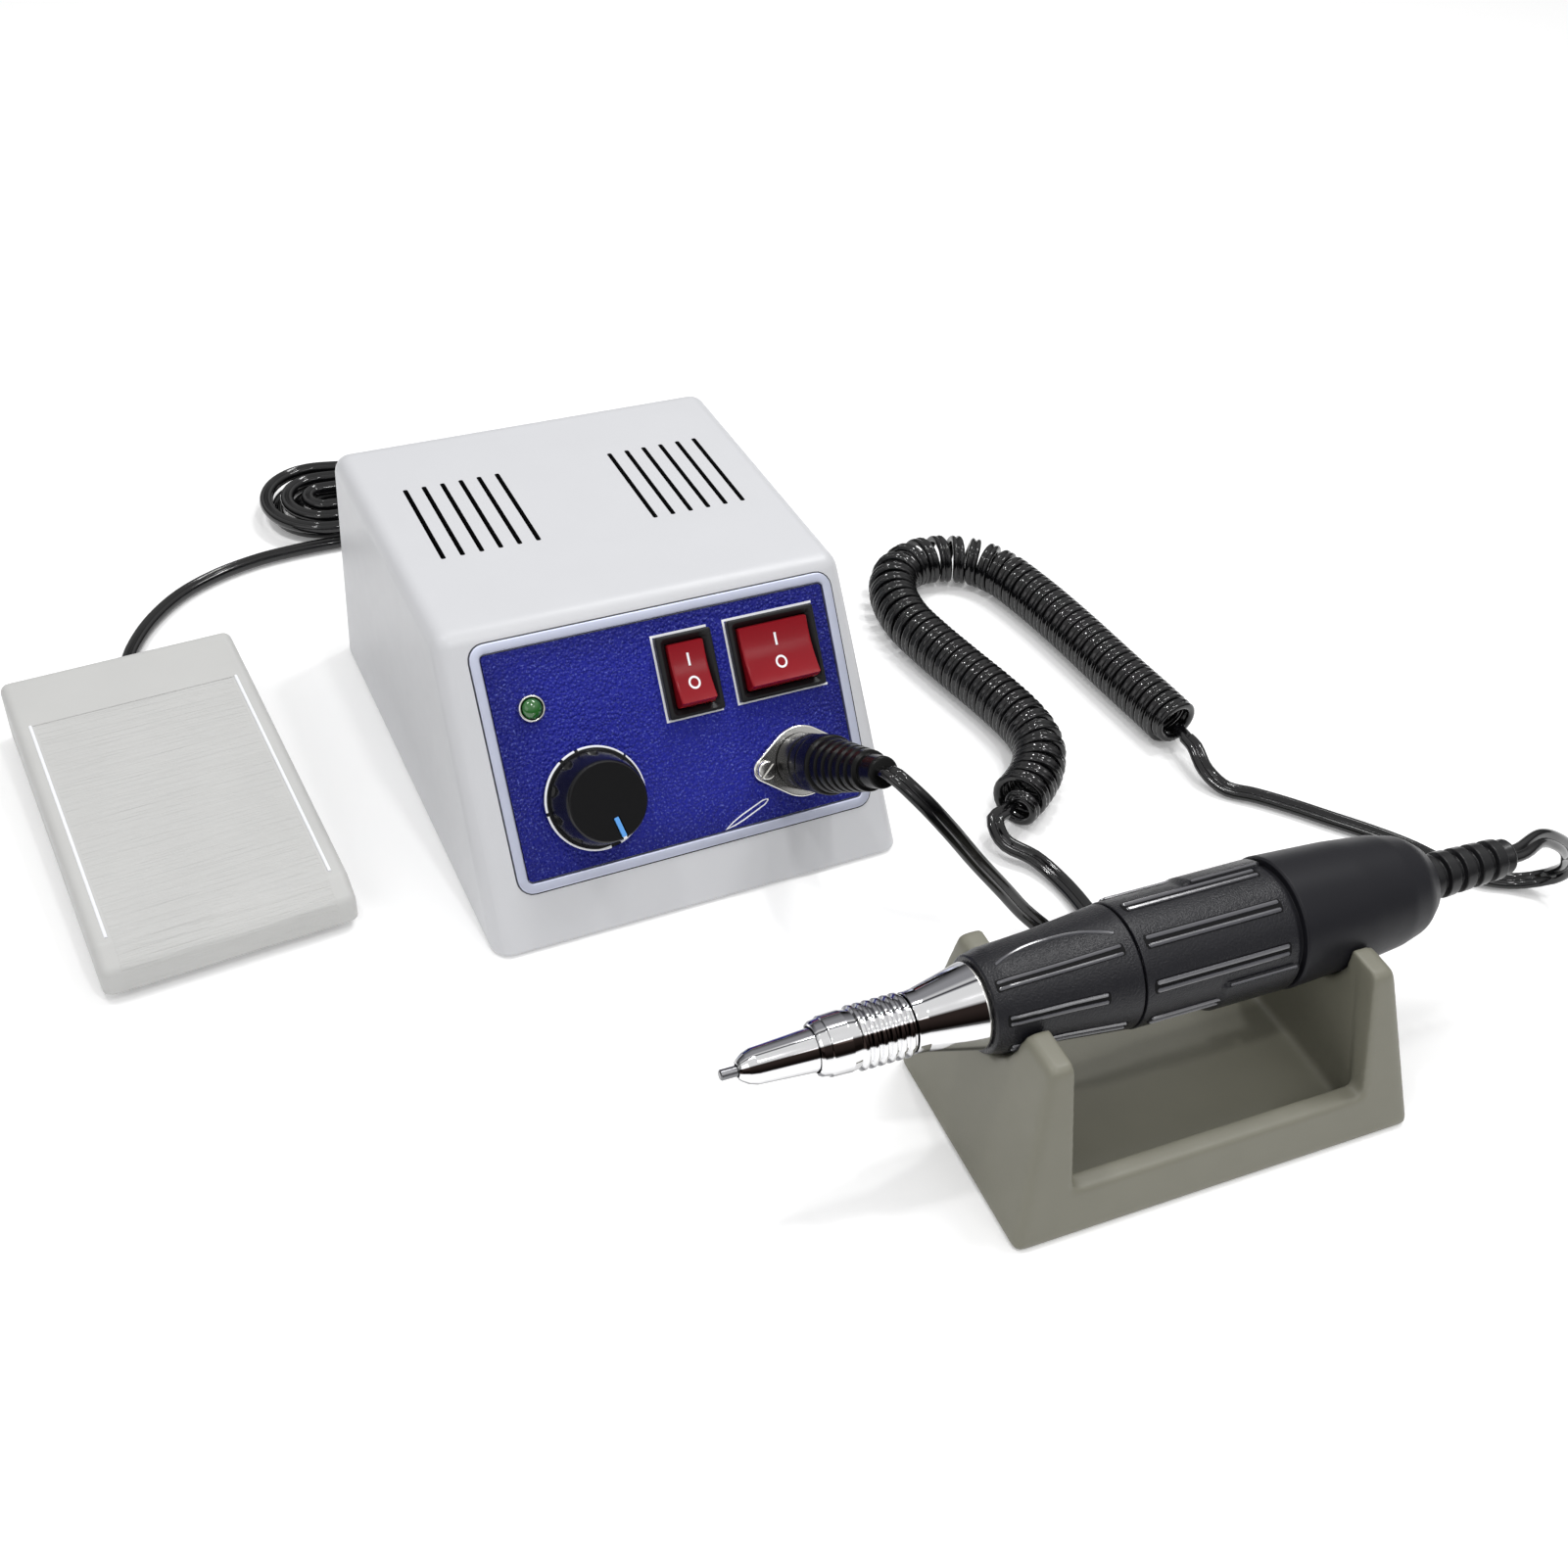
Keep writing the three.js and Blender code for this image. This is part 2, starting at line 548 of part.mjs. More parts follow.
function makeKnob() {
  const { skirt, skirtHeight, waist, face, height } = KNOB;
  const low = 2 * CLEARANCE;
  const profile = [[low, 0], [low, skirt], [skirtHeight, skirt], [skirtHeight + CLEARANCE, waist]];
  const rim = 2 * CLEARANCE;
  profile.push([height - rim, face + CLEARANCE], [height, face - CLEARANCE], [height, 0]);
  const body = turned(profile);
  const flutes = [];
  for (let flute = 0; flute < KNOB_FLUTES.count; flute++) {
    const angle = (flute + 0.5) * 2 * Math.PI / KNOB_FLUTES.count;
    const reach = waist + KNOB_FLUTES.radius - KNOB_FLUTES.bite;
    const groove = rod(KNOB_FLUTES.radius, KNOB_FLUTES.low, height - 2 * rim, SMALL_TURN_STEPS / 2);
    flutes.push(at(groove, reach * Math.cos(angle), reach * Math.sin(angle)));
  }
  const cavity = rod(KNOB_CAVITY.radius, -OVERRUN, KNOB_CAVITY.depth);
  const bore = rod(SHAFT_RADIUS + CLEARANCE, -OVERRUN, height - OVERRUN);
  return cut(body, ...flutes, cavity, bore, pointerBlock(CLEARANCE / 2, OVERRUN, OVERRUN));
}

// The pointer, or with growth the slot it lies in, which runs out over the rim.
function pointerBlock(grow, beyond, above) {
  const { width, length, depth } = POINTER;
  const half = width / 2 + grow;
  const edge = KNOB.face - CLEARANCE;
  const low = KNOB.height - depth - grow;
  return box(edge - length - grow, edge + beyond, -half, half, low, KNOB.height + above);
}

piece(knobPlace, 'speed_knob', makeKnob(), 'black');
piece(knobPlace, 'knob_pointer', pointerBlock(-CLEARANCE / 2, 0, POINTER.proud), 'lightBlue');
const shaftFoot = -POT.gap - POT.depth + 2 * CLEARANCE;
const shaftTop = KNOB.height - OVERRUN - CLEARANCE;
piece(knobPlace, 'pot_shaft', rod(SHAFT_RADIUS, shaftFoot, shaftTop), 'steel');

const potPlace = panelGroup(KNOB, PANEL_TOP);

function makePot() {
  const { radius, depth, gap, bushing, bushingRise } = POT;
  const inner = SHAFT_RADIUS + CLEARANCE;
  const floor = -gap - depth;
  return turnedRing([[floor, radius], [-gap, radius], [-gap, bushing], [bushingRise, bushing],
    [bushingRise, inner], [floor, inner]], 2 * HIDDEN_TURN_STEPS);
}

piece(potPlace, 'pot_body', makePot(), 'steel');
const nutInner = POT.bushing + CLEARANCE;
const nutBlank = rod(POT.nut, CLEARANCE, CLEARANCE + POT.nutThickness, HEXAGON);
piece(potPlace, 'pot_nut', cut(nutBlank, rod(nutInner, 0, POT.bushingRise)), 'steel');

// Rocker switches
function makeSwitchBody(part) {
  const bezelTop = CLEARANCE + SWITCH.bezel;
  const halfWidth = part.width / 2;
  const halfHeight = part.height / 2;
  const outline = rectangle(-halfWidth, halfWidth, -halfHeight, halfHeight, CLEARANCE * 2);
  const bezel = plate(outline, CLEARANCE, bezelTop);
  const [bodyX, bodyY] = [halfWidth - SWITCH.inset, halfHeight - SWITCH.inset];
  const body = box(-bodyX, bodyX, -bodyY, bodyY, -SWITCH.depth, bezelTop - CLEARANCE);
  const openX = part.rockerWidth / 2 + CLEARANCE;
  const openY = rockerReach() + CLEARANCE;
  const opening = box(-openX, openX, -openY, openY, -SWITCH.cavity, bezelTop + OVERRUN);
  const tabs = [-1, 1].map((side) => {
    const y = side * bodyY / 2;
    const [half, thin] = [SWITCH_TAB.width / 2, SWITCH_TAB.thickness / 2];
    return box(-half, half, y - thin, y + thin, -SWITCH.depth - SWITCH_TAB.length, -SWITCH.depth + OVERRUN);
  });
  return cut(join(bezel, body, ...tabs), opening);
}

function rockerReach() {
  return Math.hypot(ROCKER.reach, ROCKER.rise);
}

// The rocker's side view turned about its pivot: round ends, a dished face and a flat underside.
function makeRocker(part) {
  const radius = rockerReach();
  const topAngle = Math.asin(ROCKER.rise / radius);
  const lowAngle = -Math.asin(ROCKER.below / radius);
  const shape = new THREE.Shape();
  shape.absarc(0, 0, radius, lowAngle, topAngle, false);
  shape.quadraticCurveTo(0, ROCKER.rise - 2 * ROCKER.dish, -ROCKER.reach, ROCKER.rise);
  shape.absarc(0, 0, radius, Math.PI - topAngle, Math.PI - lowAngle, false);
  const half = part.rockerWidth / 2;
  const options = { depth: 2 * half, bevelEnabled: false, curveSegments: CORNER_STEPS * 2 };
  return new THREE.ExtrudeGeometry(shape, options).translate(0, 0, -half).applyMatrix4(SIDE_VIEW);
}

for (const [name, part] of [['power', POWER_SWITCH], ['mode', MODE_SWITCH]]) {
  const place = panelGroup(part, PANEL_TOP);
  piece(place, `${name}_switch_body`, makeSwitchBody(part), 'black');
  const pivot = new THREE.Group();
  pivot.position.z = ROCKER.pivotRise;
  pivot.rotation.x = -ROCKER.tilt;
  place.add(pivot);
  piece(pivot, `${name}_rocker`, makeRocker(part), 'red');
}

// Indicator lamp
const ledPlace = panelGroup(LED, PANEL_TOP);
const lensSeat = LED.lens + CLEARANCE;
const ledTop = CLEARANCE + LED.rise;
piece(ledPlace, 'led_bezel', turnedRing([[CLEARANCE, LED.bezel], [ledTop, LED.bezel - CLEARANCE],
  [ledTop, lensSeat], [-LED.depth, lensSeat], [-LED.depth, LED.body + CLEARANCE / 2],
  [CLEARANCE, LED.body + CLEARANCE / 2]], SMALL_TURN_STEPS), 'steel');

function makeLens() {
  const points = [[-LED.depth, 0], [-LED.depth, LED.lens], [ledTop - CLEARANCE, LED.lens]];
  for (let step = 1; step <= RIM_STEPS + 1; step++) {
    const angle = step / (RIM_STEPS + 1) * Math.PI / 2;
    points.push([ledTop - CLEARANCE + LED.dome * Math.sin(angle), LED.lens * Math.cos(angle)]);
  }
  points.at(-1)[1] = 0;
  return turned(points, SMALL_TURN_STEPS);
}

piece(ledPlace, 'led_lens', makeLens(), 'green');

// Handpiece socket
const socketPlace = panelGroup(SOCKET, PANEL_TOP);
const FLANGE_TOP = CLEARANCE + SOCKET.thickness;

function makeFlange() {
  const { flange, lobe, screwSpacing } = SOCKET;
  const tangent = Math.acos((flange - lobe) / screwSpacing);
  const shape = new THREE.Shape();
  shape.absarc(screwSpacing, 0, lobe, -tangent, tangent, false);
  shape.absarc(0, 0, flange, tangent, Math.PI - tangent, false);
  shape.absarc(-screwSpacing, 0, lobe, Math.PI - tangent, Math.PI + tangent, false);
  shape.absarc(0, 0, flange, Math.PI + tangent, 2 * Math.PI - tangent, false);
  const options = { depth: SOCKET.thickness, bevelEnabled: false, curveSegments: CORNER_STEPS * 2 };
  const flat = new THREE.ExtrudeGeometry(shape, options).translate(0, 0, CLEARANCE);
  const neck = rod(SOCKET_NECK.radius, -SOCKET_NECK.depth, FLANGE_TOP - CLEARANCE);
  const bore = rod(SOCKET_NECK.bore, -SOCKET_NECK.depth - OVERRUN, FLANGE_TOP + OVERRUN);
  const holes = [-1, 1].map((side) => at(rod(FLANGE_SCREW.shank + CLEARANCE, -OVERRUN, 2 * OVERRUN),
    side * screwSpacing, 0));
  return cut(join(flat, neck), bore, ...holes);
}

function pins(radius, low, high) {
  return Array.from({ length: PIN.count }, (_, index) => {
    const angle = Math.PI / 2 + (index - (PIN.count - 1) / 2) * Math.PI / (PIN.count - 1);
    return at(rod(radius, low, high, HEXAGON), PIN.circle * Math.cos(angle), PIN.circle * Math.sin(angle));
  });
}

piece(socketPlace, 'socket_flange', makeFlange(), 'chrome');
const insertTop = SOCKET_NECK.insert - SOCKET_NECK.depth;
const insertBody = rod(SOCKET_NECK.bore - CLEARANCE, -SOCKET_NECK.depth, insertTop);
const pinHoles = pins(PIN.radius + CLEARANCE, -SOCKET_NECK.depth - OVERRUN, OVERRUN);
piece(socketPlace, 'socket_insert', cut(insertBody, ...pinHoles), 'black');
[-1, 1].forEach((side, index) => {
  const { head, headHeight, shank, depth, slotWidth } = FLANGE_SCREW;
  const low = FLANGE_TOP + CLEARANCE;
  const top = low + headHeight;
  const body = turned([[-depth, 0], [-depth, shank], [low, shank], [low, head], [top - CLEARANCE, head],
    [top, head - CLEARANCE * 2], [top, 0]], HIDDEN_TURN_STEPS + 2);
  const arm = head / 2;
  const slot = box(-arm, arm, -slotWidth / 2, slotWidth / 2, top - headHeight / 2, top + OVERRUN);
  const crossSlot = slot.clone().rotateZ(Math.PI / 2);
  const screw = at(geometryOf(cut(body, slot, crossSlot)), side * SOCKET.screwSpacing, 0);
  piece(socketPlace, `flange_screw_${index + 1}`, screw, 'steel');
});

// Plug of the handpiece cord, standing in its socket
const plugPlace = panelGroup(SOCKET, PANEL_TOP);
const PLUG_SEAT = FLANGE_TOP + CLEARANCE;

function makePlugBarrel() {
  const { nose, noseWall, noseDepth, barrel, barrelEnd, ridge, ridgeEnd } = PLUG;
  const ridgeSoft = 2 * CLEARANCE;
  const profile = [[PLUG_SEAT, 0], [PLUG_SEAT, barrel], [barrelEnd - ridgeSoft, barrel]];
  profile.push([barrelEnd, barrel - ridgeSoft], [barrelEnd + ridgeSoft, ridge]);
  profile.push([ridgeEnd - ridgeSoft, ridge], [ridgeEnd, ridge - ridgeSoft], [ridgeEnd, 0]);
  const body = turned(profile);
  const noseBlank = rod(nose, -noseDepth, PLUG_SEAT + OVERRUN);
  const noseTube = cut(noseBlank, rod(nose - noseWall, -noseDepth - OVERRUN, PLUG_SEAT));
  return join(body, noseTube, ...pins(PIN.radius, insertTop - PIN.reach, PLUG_SEAT + OVERRUN));
}

// Points of a tapering sleeve with ring grooves, as height and radius.
function ribbedTaper(start, end, front, back, ribs, grooveDepth) {
  const points = [];
  const pitch = (end - start) / ribs;
  const radiusAt = (height) => THREE.MathUtils.mapLinear(height, start, end, front, back);
  for (let rib = 0; rib < ribs; rib++) {
    const low = start + rib * pitch;
    const grooveStart = low + pitch * ribShare;
    points.push([low, radiusAt(low)], [grooveStart, radiusAt(grooveStart)]);
    const grooveMiddle = (grooveStart + low + pitch) / 2;
    if (rib + 1 < ribs) points.push([grooveMiddle, radiusAt(grooveMiddle) - grooveDepth]);
  }
  return points;
}

const ribShare = 0.55;
const bootStart = PLUG.ridgeEnd + CLEARANCE;

function makePlugBoot() {
  const { front, back, end, ribs, grooveDepth, collar, collarEnd } = PLUG_BOOT;
  const taper = ribbedTaper(bootStart, end, front, back, ribs, grooveDepth);
  const collarStart = end + CLEARANCE * 2;
  return turned([[bootStart, 0], ...taper, [end, collar - grooveDepth], [collarStart, collar],
    [collarEnd, collar], [collarEnd, 0]], SMALL_TURN_STEPS);
}

piece(plugPlace, 'plug_barrel', makePlugBarrel(), 'black');
piece(plugPlace, 'plug_boot', makePlugBoot(), 'rubber');

// Transformer, circuit board and their parts
function makeCore() {
  const { width, depth, height, limb, left, front } = CORE;
  const body = box(left, left + width, front, front + depth, BASE_TOP, BASE_TOP + height);
  const window = (width - 4 * limb) / 2;
  const windows = [left + limb, left + width - limb - window].map((x) => (
    box(x, x + window, front - OVERRUN, front + depth + OVERRUN, BASE_TOP + limb, BASE_TOP + height - limb)));
  return cut(body, ...windows);
}

function makeWinding() {
  const { width, depth, height, limb, left, front } = CORE;
  const window = (width - 4 * limb) / 2;
  const [x0, x1] = [left + limb + CLEARANCE, left + width - limb - CLEARANCE];
  const [z0, z1] = [BASE_TOP + limb + CLEARANCE, BASE_TOP + height - limb - CLEARANCE];
  const [y0, y1] = [front - WINDING_BULGE, front + depth + WINDING_BULGE];
  const limbSide = window - 2 * CLEARANCE;
  const limbEnds = [front - CLEARANCE, front + depth + CLEARANCE];
  const inner = box(x0 + limbSide, x1 - limbSide, ...limbEnds, z0 - OVERRUN, z1 + OVERRUN);
  return cut(plate(rectangle(x0, x1, y0, y1, OVERRUN), z0, z1), inner);
}

piece(set, 'transformer_core', makeCore(), 'steel');
piece(set, 'transformer_winding', makeWinding(), 'copper');
const boardLow = BASE_TOP + BOARD_POST.height;
const boardTop = boardLow + BOARD.thickness;
const boardPlate = box(0, BOARD.width, 0, BOARD.depth, boardLow, boardTop);
const chipFront = (BOARD.depth - CHIP.depth) / 2;
const chipEnds = [CHIP.across, CHIP.across + CHIP.width, chipFront, chipFront + CHIP.depth];
const boardWithChip = join(boardPlate, box(...chipEnds, boardLow, boardTop + CHIP.height));
piece(set, 'circuit_board', boardWithChip, 'board').position.set(BOARD.left, BOARD.front, 0);
const capacitor = rod(CAPACITOR.radius, boardTop, boardTop + CAPACITOR.height);
const capacitorPlace = [BOARD.left + CAPACITOR.across, BOARD.front + BOARD.depth / 2];
piece(set, 'filter_capacitor', at(capacitor, ...capacitorPlace), 'black');

// Fittings of the back wall, in frames whose z runs out of the wall
function backGroup({ across, height }) {
  const group = new THREE.Group();
  group.position.set(across, BOX_DEPTH, height);
  group.rotation.x = -Math.PI / 2;
  set.add(group);
  return group;
}

function makeInlet() {
  const [halfWidth, halfTall] = [INLET.width / 2, INLET.tall / 2];
  const outline = rectangle(-halfWidth, halfWidth, -halfTall, halfTall, INLET.body);
  const flange = plate(outline, CLEARANCE, CLEARANCE + INLET.flange);
  const [bodyX, bodyY] = [halfWidth - INLET.body, halfTall - INLET.body];
  const body = box(-bodyX, bodyX, -bodyY, bodyY, -INLET.depth, INLET.flange);
  const { width, tall, depth } = INLET_CAVITY;
  const floor = INLET.flange - depth;
  const cavity = box(-width / 2, width / 2, -tall / 2, tall / 2, floor, INLET.flange + OVERRUN);
  const blades = [-1, 0, 1].map((place) => {
    const x = place * INLET_PIN.spread;
    const y = INLET_PIN.drop * (place === 0 ? 0 : 1);
    const [thin, half] = [INLET_PIN.width / 2, INLET_PIN.tall / 2];
    return box(x - thin, x + thin, y - half, y + half, -INLET.depth, floor + INLET_PIN.length);
  });
  return join(cut(join(flange, body), cavity), ...blades);
}

piece(backGroup(INLET), 'mains_inlet', makeInlet(), 'black');

// A flanged sleeve through the back wall, closed at its inner end.
function flangedSleeve({ flange, barrel, bore, depth }, face, endWall) {
  const outside = [[-depth, 0], [-depth, barrel], [CLEARANCE, barrel], [CLEARANCE, flange], [face, flange]];
  const inside = [[face, bore], [endWall - depth, bore], [endWall - depth, 0]];
  return turned([...outside, ...inside], HIDDEN_TURN_STEPS + 2);
}

const fusePlace = backGroup(FUSE);
const fuseFace = CLEARANCE + FUSE.thickness;
piece(fusePlace, 'fuse_holder', flangedSleeve(FUSE, fuseFace, OVERRUN), 'black');
const capLow = fuseFace + CLEARANCE;
const capTop = capLow + FUSE_CAP.thickness;

function makeFuseCap() {
  const { radius, stem, stemLength, slot } = FUSE_CAP;
  const stemEnd = capLow - stemLength;
  const body = turned([[stemEnd, 0], [stemEnd, stem], [capLow, stem], [capLow, radius],
    [capTop, radius - CLEARANCE], [capTop, 0]], SMALL_TURN_STEPS);
  return cut(body, box(-stem, stem, -slot / 2, slot / 2, capTop - slot, capTop + OVERRUN));
}

piece(fusePlace, 'fuse_cap', makeFuseCap(), 'black');
const jackPlace = backGroup(JACK);
const jackFace = CLEARANCE + JACK.thickness;
piece(jackPlace, 'pedal_jack', flangedSleeve(JACK, jackFace, OVERRUN / 2), 'silver');
const jackPlugLow = jackFace + CLEARANCE;
const jackPlugTop = jackPlugLow + JACK_PLUG.bodyLength;
const jackTail = jackPlugTop + JACK_PLUG.tailLength;

function makeJackPlug() {
  const { pin, pinLength, body, tail } = JACK_PLUG;
  const pinEnd = jackPlugLow - pinLength;
  return turned([[pinEnd, 0], [pinEnd, pin], [jackPlugLow, pin], [jackPlugLow, body], [jackPlugTop, body],
    [jackPlugTop, tail], [jackTail, tail], [jackTail, 0]], HIDDEN_TURN_STEPS + 2);
}

piece(jackPlace, 'pedal_plug', makeJackPlug(), 'black');

// Cradle
const cradle = new THREE.Group();
cradle.position.set(CRADLE.x, CRADLE.y, 0);
cradle.rotation.z = CRADLE.turn;
set.add(cradle);

// The handpiece's radius at a place along the cradle, from its outline.
function handpieceRadiusAt(x) {
  const station = x + TIP_OVERHANG;
  const outline = [...sleeveOutline(), ...gripOutline(), ...capOutline()];
  const next = outline.findIndex(([place]) => place > station);
  const [a, b] = [outline[next - 1], outline[next]];
  return THREE.MathUtils.mapLinear(station, a[0], b[0], a[1], b[1]);
}

function makeCradle() {
  const low = { x0: 0, x1: CRADLE_WIDTH, y0: 0, y1: CRADLE_DEPTH, z: 0 };
  const high = { x0: CRADLE_END_LEAN, x1: CRADLE_WIDTH - CRADLE_END_LEAN, y0: CRADLE_FRONT_LEAN,
    y1: CRADLE_DEPTH - CRADLE_BACK_LEAN, z: CRADLE_HEIGHT };
  const outer = leaningBlock(low, high, CRADLE_CORNER, CRADLE_RIM);
  const wallAt = (z) => ({ front: CRADLE_FRONT_LEAN * z / CRADLE_HEIGHT + CRADLE_WALL,
    back: CRADLE_DEPTH - CRADLE_BACK_LEAN * z / CRADLE_HEIGHT - CRADLE_WALL });
  const top = CRADLE_HEIGHT + OVERRUN;
  const pocket = (z, inset) => (
    { x0: inset, x1: CRADLE_WIDTH - inset, y0: wallAt(z).front, y1: wallAt(z).back, z });
  const trough = leaningBlock(pocket(CRADLE_FLOOR, TROUGH_INSET.low), pocket(top, TROUGH_INSET.high),
    CRADLE_CORNER, CLEARANCE);
  const inner = [TROUGH_INSET.high, CRADLE_WIDTH - TROUGH_INSET.high];
  const window = box(...inner, -OVERRUN, CRADLE_DEPTH + OVERRUN, SILL_HEIGHT, top);
  const notches = [[-OVERRUN, inner[0]], [inner[1], CRADLE_WIDTH + OVERRUN]].map(([x0, x1], end) => {
    const radius = handpieceRadiusAt(inner[end]) + CLEARANCE;
    const round = at(alongX(rod(radius, x0, x1, TURN_STEPS)), 0, AXIS_BACK, AXIS_HEIGHT);
    const above = box(x0, x1, AXIS_BACK - radius, AXIS_BACK + radius, AXIS_HEIGHT, top);
    return join(round, above);
  });
  return cut(outer, trough, window, ...notches);
}

// Handpiece, turned about its own axis, which runs along x in the cradle
const handpiece = new THREE.Group();
handpiece.position.set(-TIP_OVERHANG, AXIS_BACK, AXIS_HEIGHT);
cradle.add(handpiece);

function sleeveOutline() {
  const { front, lip, lipAt, waist, waistAt, end, back } = SLEEVE;
  return [[CONE.end + CLEARANCE, front], [lipAt, lip], [waistAt, waist], [end, back]];
}

function gripOutline() {
  const { radius, end, back, stepAt } = GRIP;
  return [[SLEEVE.end + CLEARANCE, radius], [stepAt, radius + CLEARANCE], [end, back]];
}

function capOutline() {
  const { shoulderAt, shoulder, middleAt, middle } = CAP_ROUND;
  return [[CAP.start, CAP.front], [CAP.waistAt, CAP.waist], [shoulderAt, shoulder], [middleAt, middle],
    [CAP.end, CAP_ROUND.end]];
}

piece(cradle, 'cradle', makeCradle(), 'khaki');

function turnedPiece(name, profile, finish, sides = TURN_STEPS) {
  piece(handpiece, name, alongX(turnedRing(profile, sides)), finish);
}

piece(handpiece, 'bur', alongX(rod(BUR_RADIUS, 0, BUR_LENGTH)), 'steel');
const bore = SPINDLE.radius + CLEARANCE;
const burEnd = BUR_LENGTH + CLEARANCE;
piece(handpiece, 'spindle', alongX(turned([[SPINDLE.start, SPINDLE.bore], [SPINDLE.start, SPINDLE.radius],
  [SPINDLE.end, SPINDLE.radius], [SPINDLE.end, 0], [burEnd, 0], [burEnd, SPINDLE.bore],
  [SPINDLE.start, SPINDLE.bore]], HIDDEN_TURN_STEPS)), 'steel');
const noseBore = BUR_RADIUS + CLEARANCE;
const noseMiddle = [(NOSE.start + NOSE.shoulderAt) / 2, (NOSE.tip + NOSE.shoulder) / 2 + CLEARANCE];
const noseStep = SPINDLE.start - OVERRUN;
turnedPiece('nose_cone', [[NOSE.start, noseBore], [NOSE.start, NOSE.tip - CLEARANCE],
  [NOSE.start + CLEARANCE, NOSE.tip], noseMiddle, [NOSE.shoulderAt, NOSE.shoulder], [NOSE.endAt, NOSE.end],
  [NOSE.tail, NOSE.end], [NOSE.tail, bore], [noseStep, bore], [noseStep, noseBore]], 'chrome');

function makeRingProfile() {
  const { lip, body, ribStart, ribs, rib, groove, end } = RING;
  const start = NOSE.endAt + CLEARANCE;
  const inner = NOSE.end + CLEARANCE;
  const points = [[start, inner], [start, lip], [start + OVERRUN, (lip + body) / 2]];
  points.push([ribStart - OVERRUN, body]);
  const pitch = (end - ribStart) / ribs;
  for (let index = 0; index < ribs; index++) {
    const low = ribStart + index * pitch;
    points.push([low, groove], [low + pitch * (1 - ribShare) / 2, rib], [low + pitch * ribShare, rib]);
  }
  return [...points, [end, groove], [end, inner]];
}

turnedPiece('chuck_ring', makeRingProfile(), 'chrome');
const coneStart = RING.end + CLEARANCE;
const seatStart = BEARING.frontAt - CLEARANCE;
const seatRadius = BEARING.frontRadius + CLEARANCE;
turnedPiece('front_cone', [[coneStart, bore], [coneStart, CONE.front], [CONE.end, CONE.back],
  [CONE.end, CONE.tailRadius], [CONE.tail, CONE.tailRadius], [CONE.tail, seatRadius],
  [seatStart, seatRadius], [seatStart, bore]], 'chrome');
const sleeveBore = CONE.tailRadius + CLEARANCE;
const canBore = MOTOR.can + CLEARANCE;
const canStart = MOTOR.start - CLEARANCE;
turnedPiece('front_sleeve', [...sleeveOutline(), [SLEEVE.end, canBore], [canStart, canBore],
  [canStart, sleeveBore], [CONE.end + CLEARANCE, sleeveBore]], 'black');

function makeGrip() {
  const outline = gripOutline();
  const body = turnedRing([...outline, [GRIP.end, canBore], [SLEEVE.end + CLEARANCE, canBore]]);
  const ribs = [];
  const start = SLEEVE.end + 4 * GRIP.ribRadius;
  for (let rib = 0; rib < GRIP.ribs; rib++) {
    for (const side of [-1, 1]) {
      const angle = (rib + 0.5) * 2 * Math.PI / GRIP.ribs + side * 2 * GRIP.ribRadius / GRIP.radius;
      const bar = rod(GRIP.ribRadius, start, start + GRIP.ribLength, HEXAGON);
      ribs.push(at(bar, GRIP.radius * Math.cos(angle), GRIP.radius * Math.sin(angle)));
    }
  }
  return alongX(geometryOf(join(body, ...ribs)));
}

piece(handpiece, 'grip_sleeve', makeGrip(), 'black');
const bootSeat = BOOT.seat + CLEARANCE;
const canRoom = MOTOR.end + OVERRUN;
turnedPiece('rear_cap', [...capOutline(), [CAP.end, bootSeat], [canRoom, bootSeat], [canRoom, canBore],
  [CAP.start, canBore]], 'black');
const canInner = MOTOR.can - MOTOR.wall;
const lidBore = bore + CLEARANCE;
const lidEnd = MOTOR.start + MOTOR.lid;
turnedPiece('motor_can', [[MOTOR.start, lidBore], [MOTOR.start, MOTOR.can], [MOTOR.end, MOTOR.can],
  [MOTOR.end, canInner], [lidEnd, canInner], [lidEnd, lidBore]], 'steel', 2 * HIDDEN_TURN_STEPS);

// A plain ring round the spindle, from one station to the next.
function spindleRing(name, start, end, radius, finish, sides = HIDDEN_TURN_STEPS) {
  turnedPiece(name, [[start, bore], [start, radius], [end, radius], [end, bore]], finish, sides);
}

const { frontAt, rearAt, width: bearingWidth, frontRadius } = BEARING;
spindleRing('rotor', ROTOR.start, ROTOR.end, ROTOR.radius, 'copper');
spindleRing('front_bearing', frontAt, frontAt + bearingWidth, frontRadius, 'steel');
const rearRadius = canInner - CLEARANCE;
spindleRing('rear_bearing', rearAt, rearAt + bearingWidth, rearRadius, 'steel', 2 * HIDDEN_TURN_STEPS);

function makeBoot() {
  const { seat, front, back, end, ribs, grooveDepth } = BOOT;
  const start = CAP.end + CLEARANCE;
  const inside = MOTOR.end + OVERRUN + CLEARANCE;
  const taper = ribbedTaper(start, end, front, back, ribs, grooveDepth);
  return turned([[inside, 0], [inside, seat], [start - CLEARANCE, seat], ...taper, [end, back], [end, 0]],
    SMALL_TURN_STEPS);
}

piece(handpiece, 'cord_boot', alongX(makeBoot()), 'rubber');

// Foot pedal
const pedal = new THREE.Group();
pedal.position.set(PEDAL.x, PEDAL.y, 0);
pedal.rotation.z = PEDAL.turn;
set.add(pedal);

function pedalCorners(low) {
  const corners = [[-PEDAL_END_LEAN, low], [PEDAL_DEPTH + PEDAL_END_LEAN, low],
    [PEDAL_DEPTH, PEDAL_BACK_HEIGHT], [PEDAL_LIP_DEPTH, PEDAL_LIP_HEIGHT], [0, PEDAL_FRONT_HEIGHT]];
  return corners.map(([y, z]) => new THREE.Vector2(y, z));
}

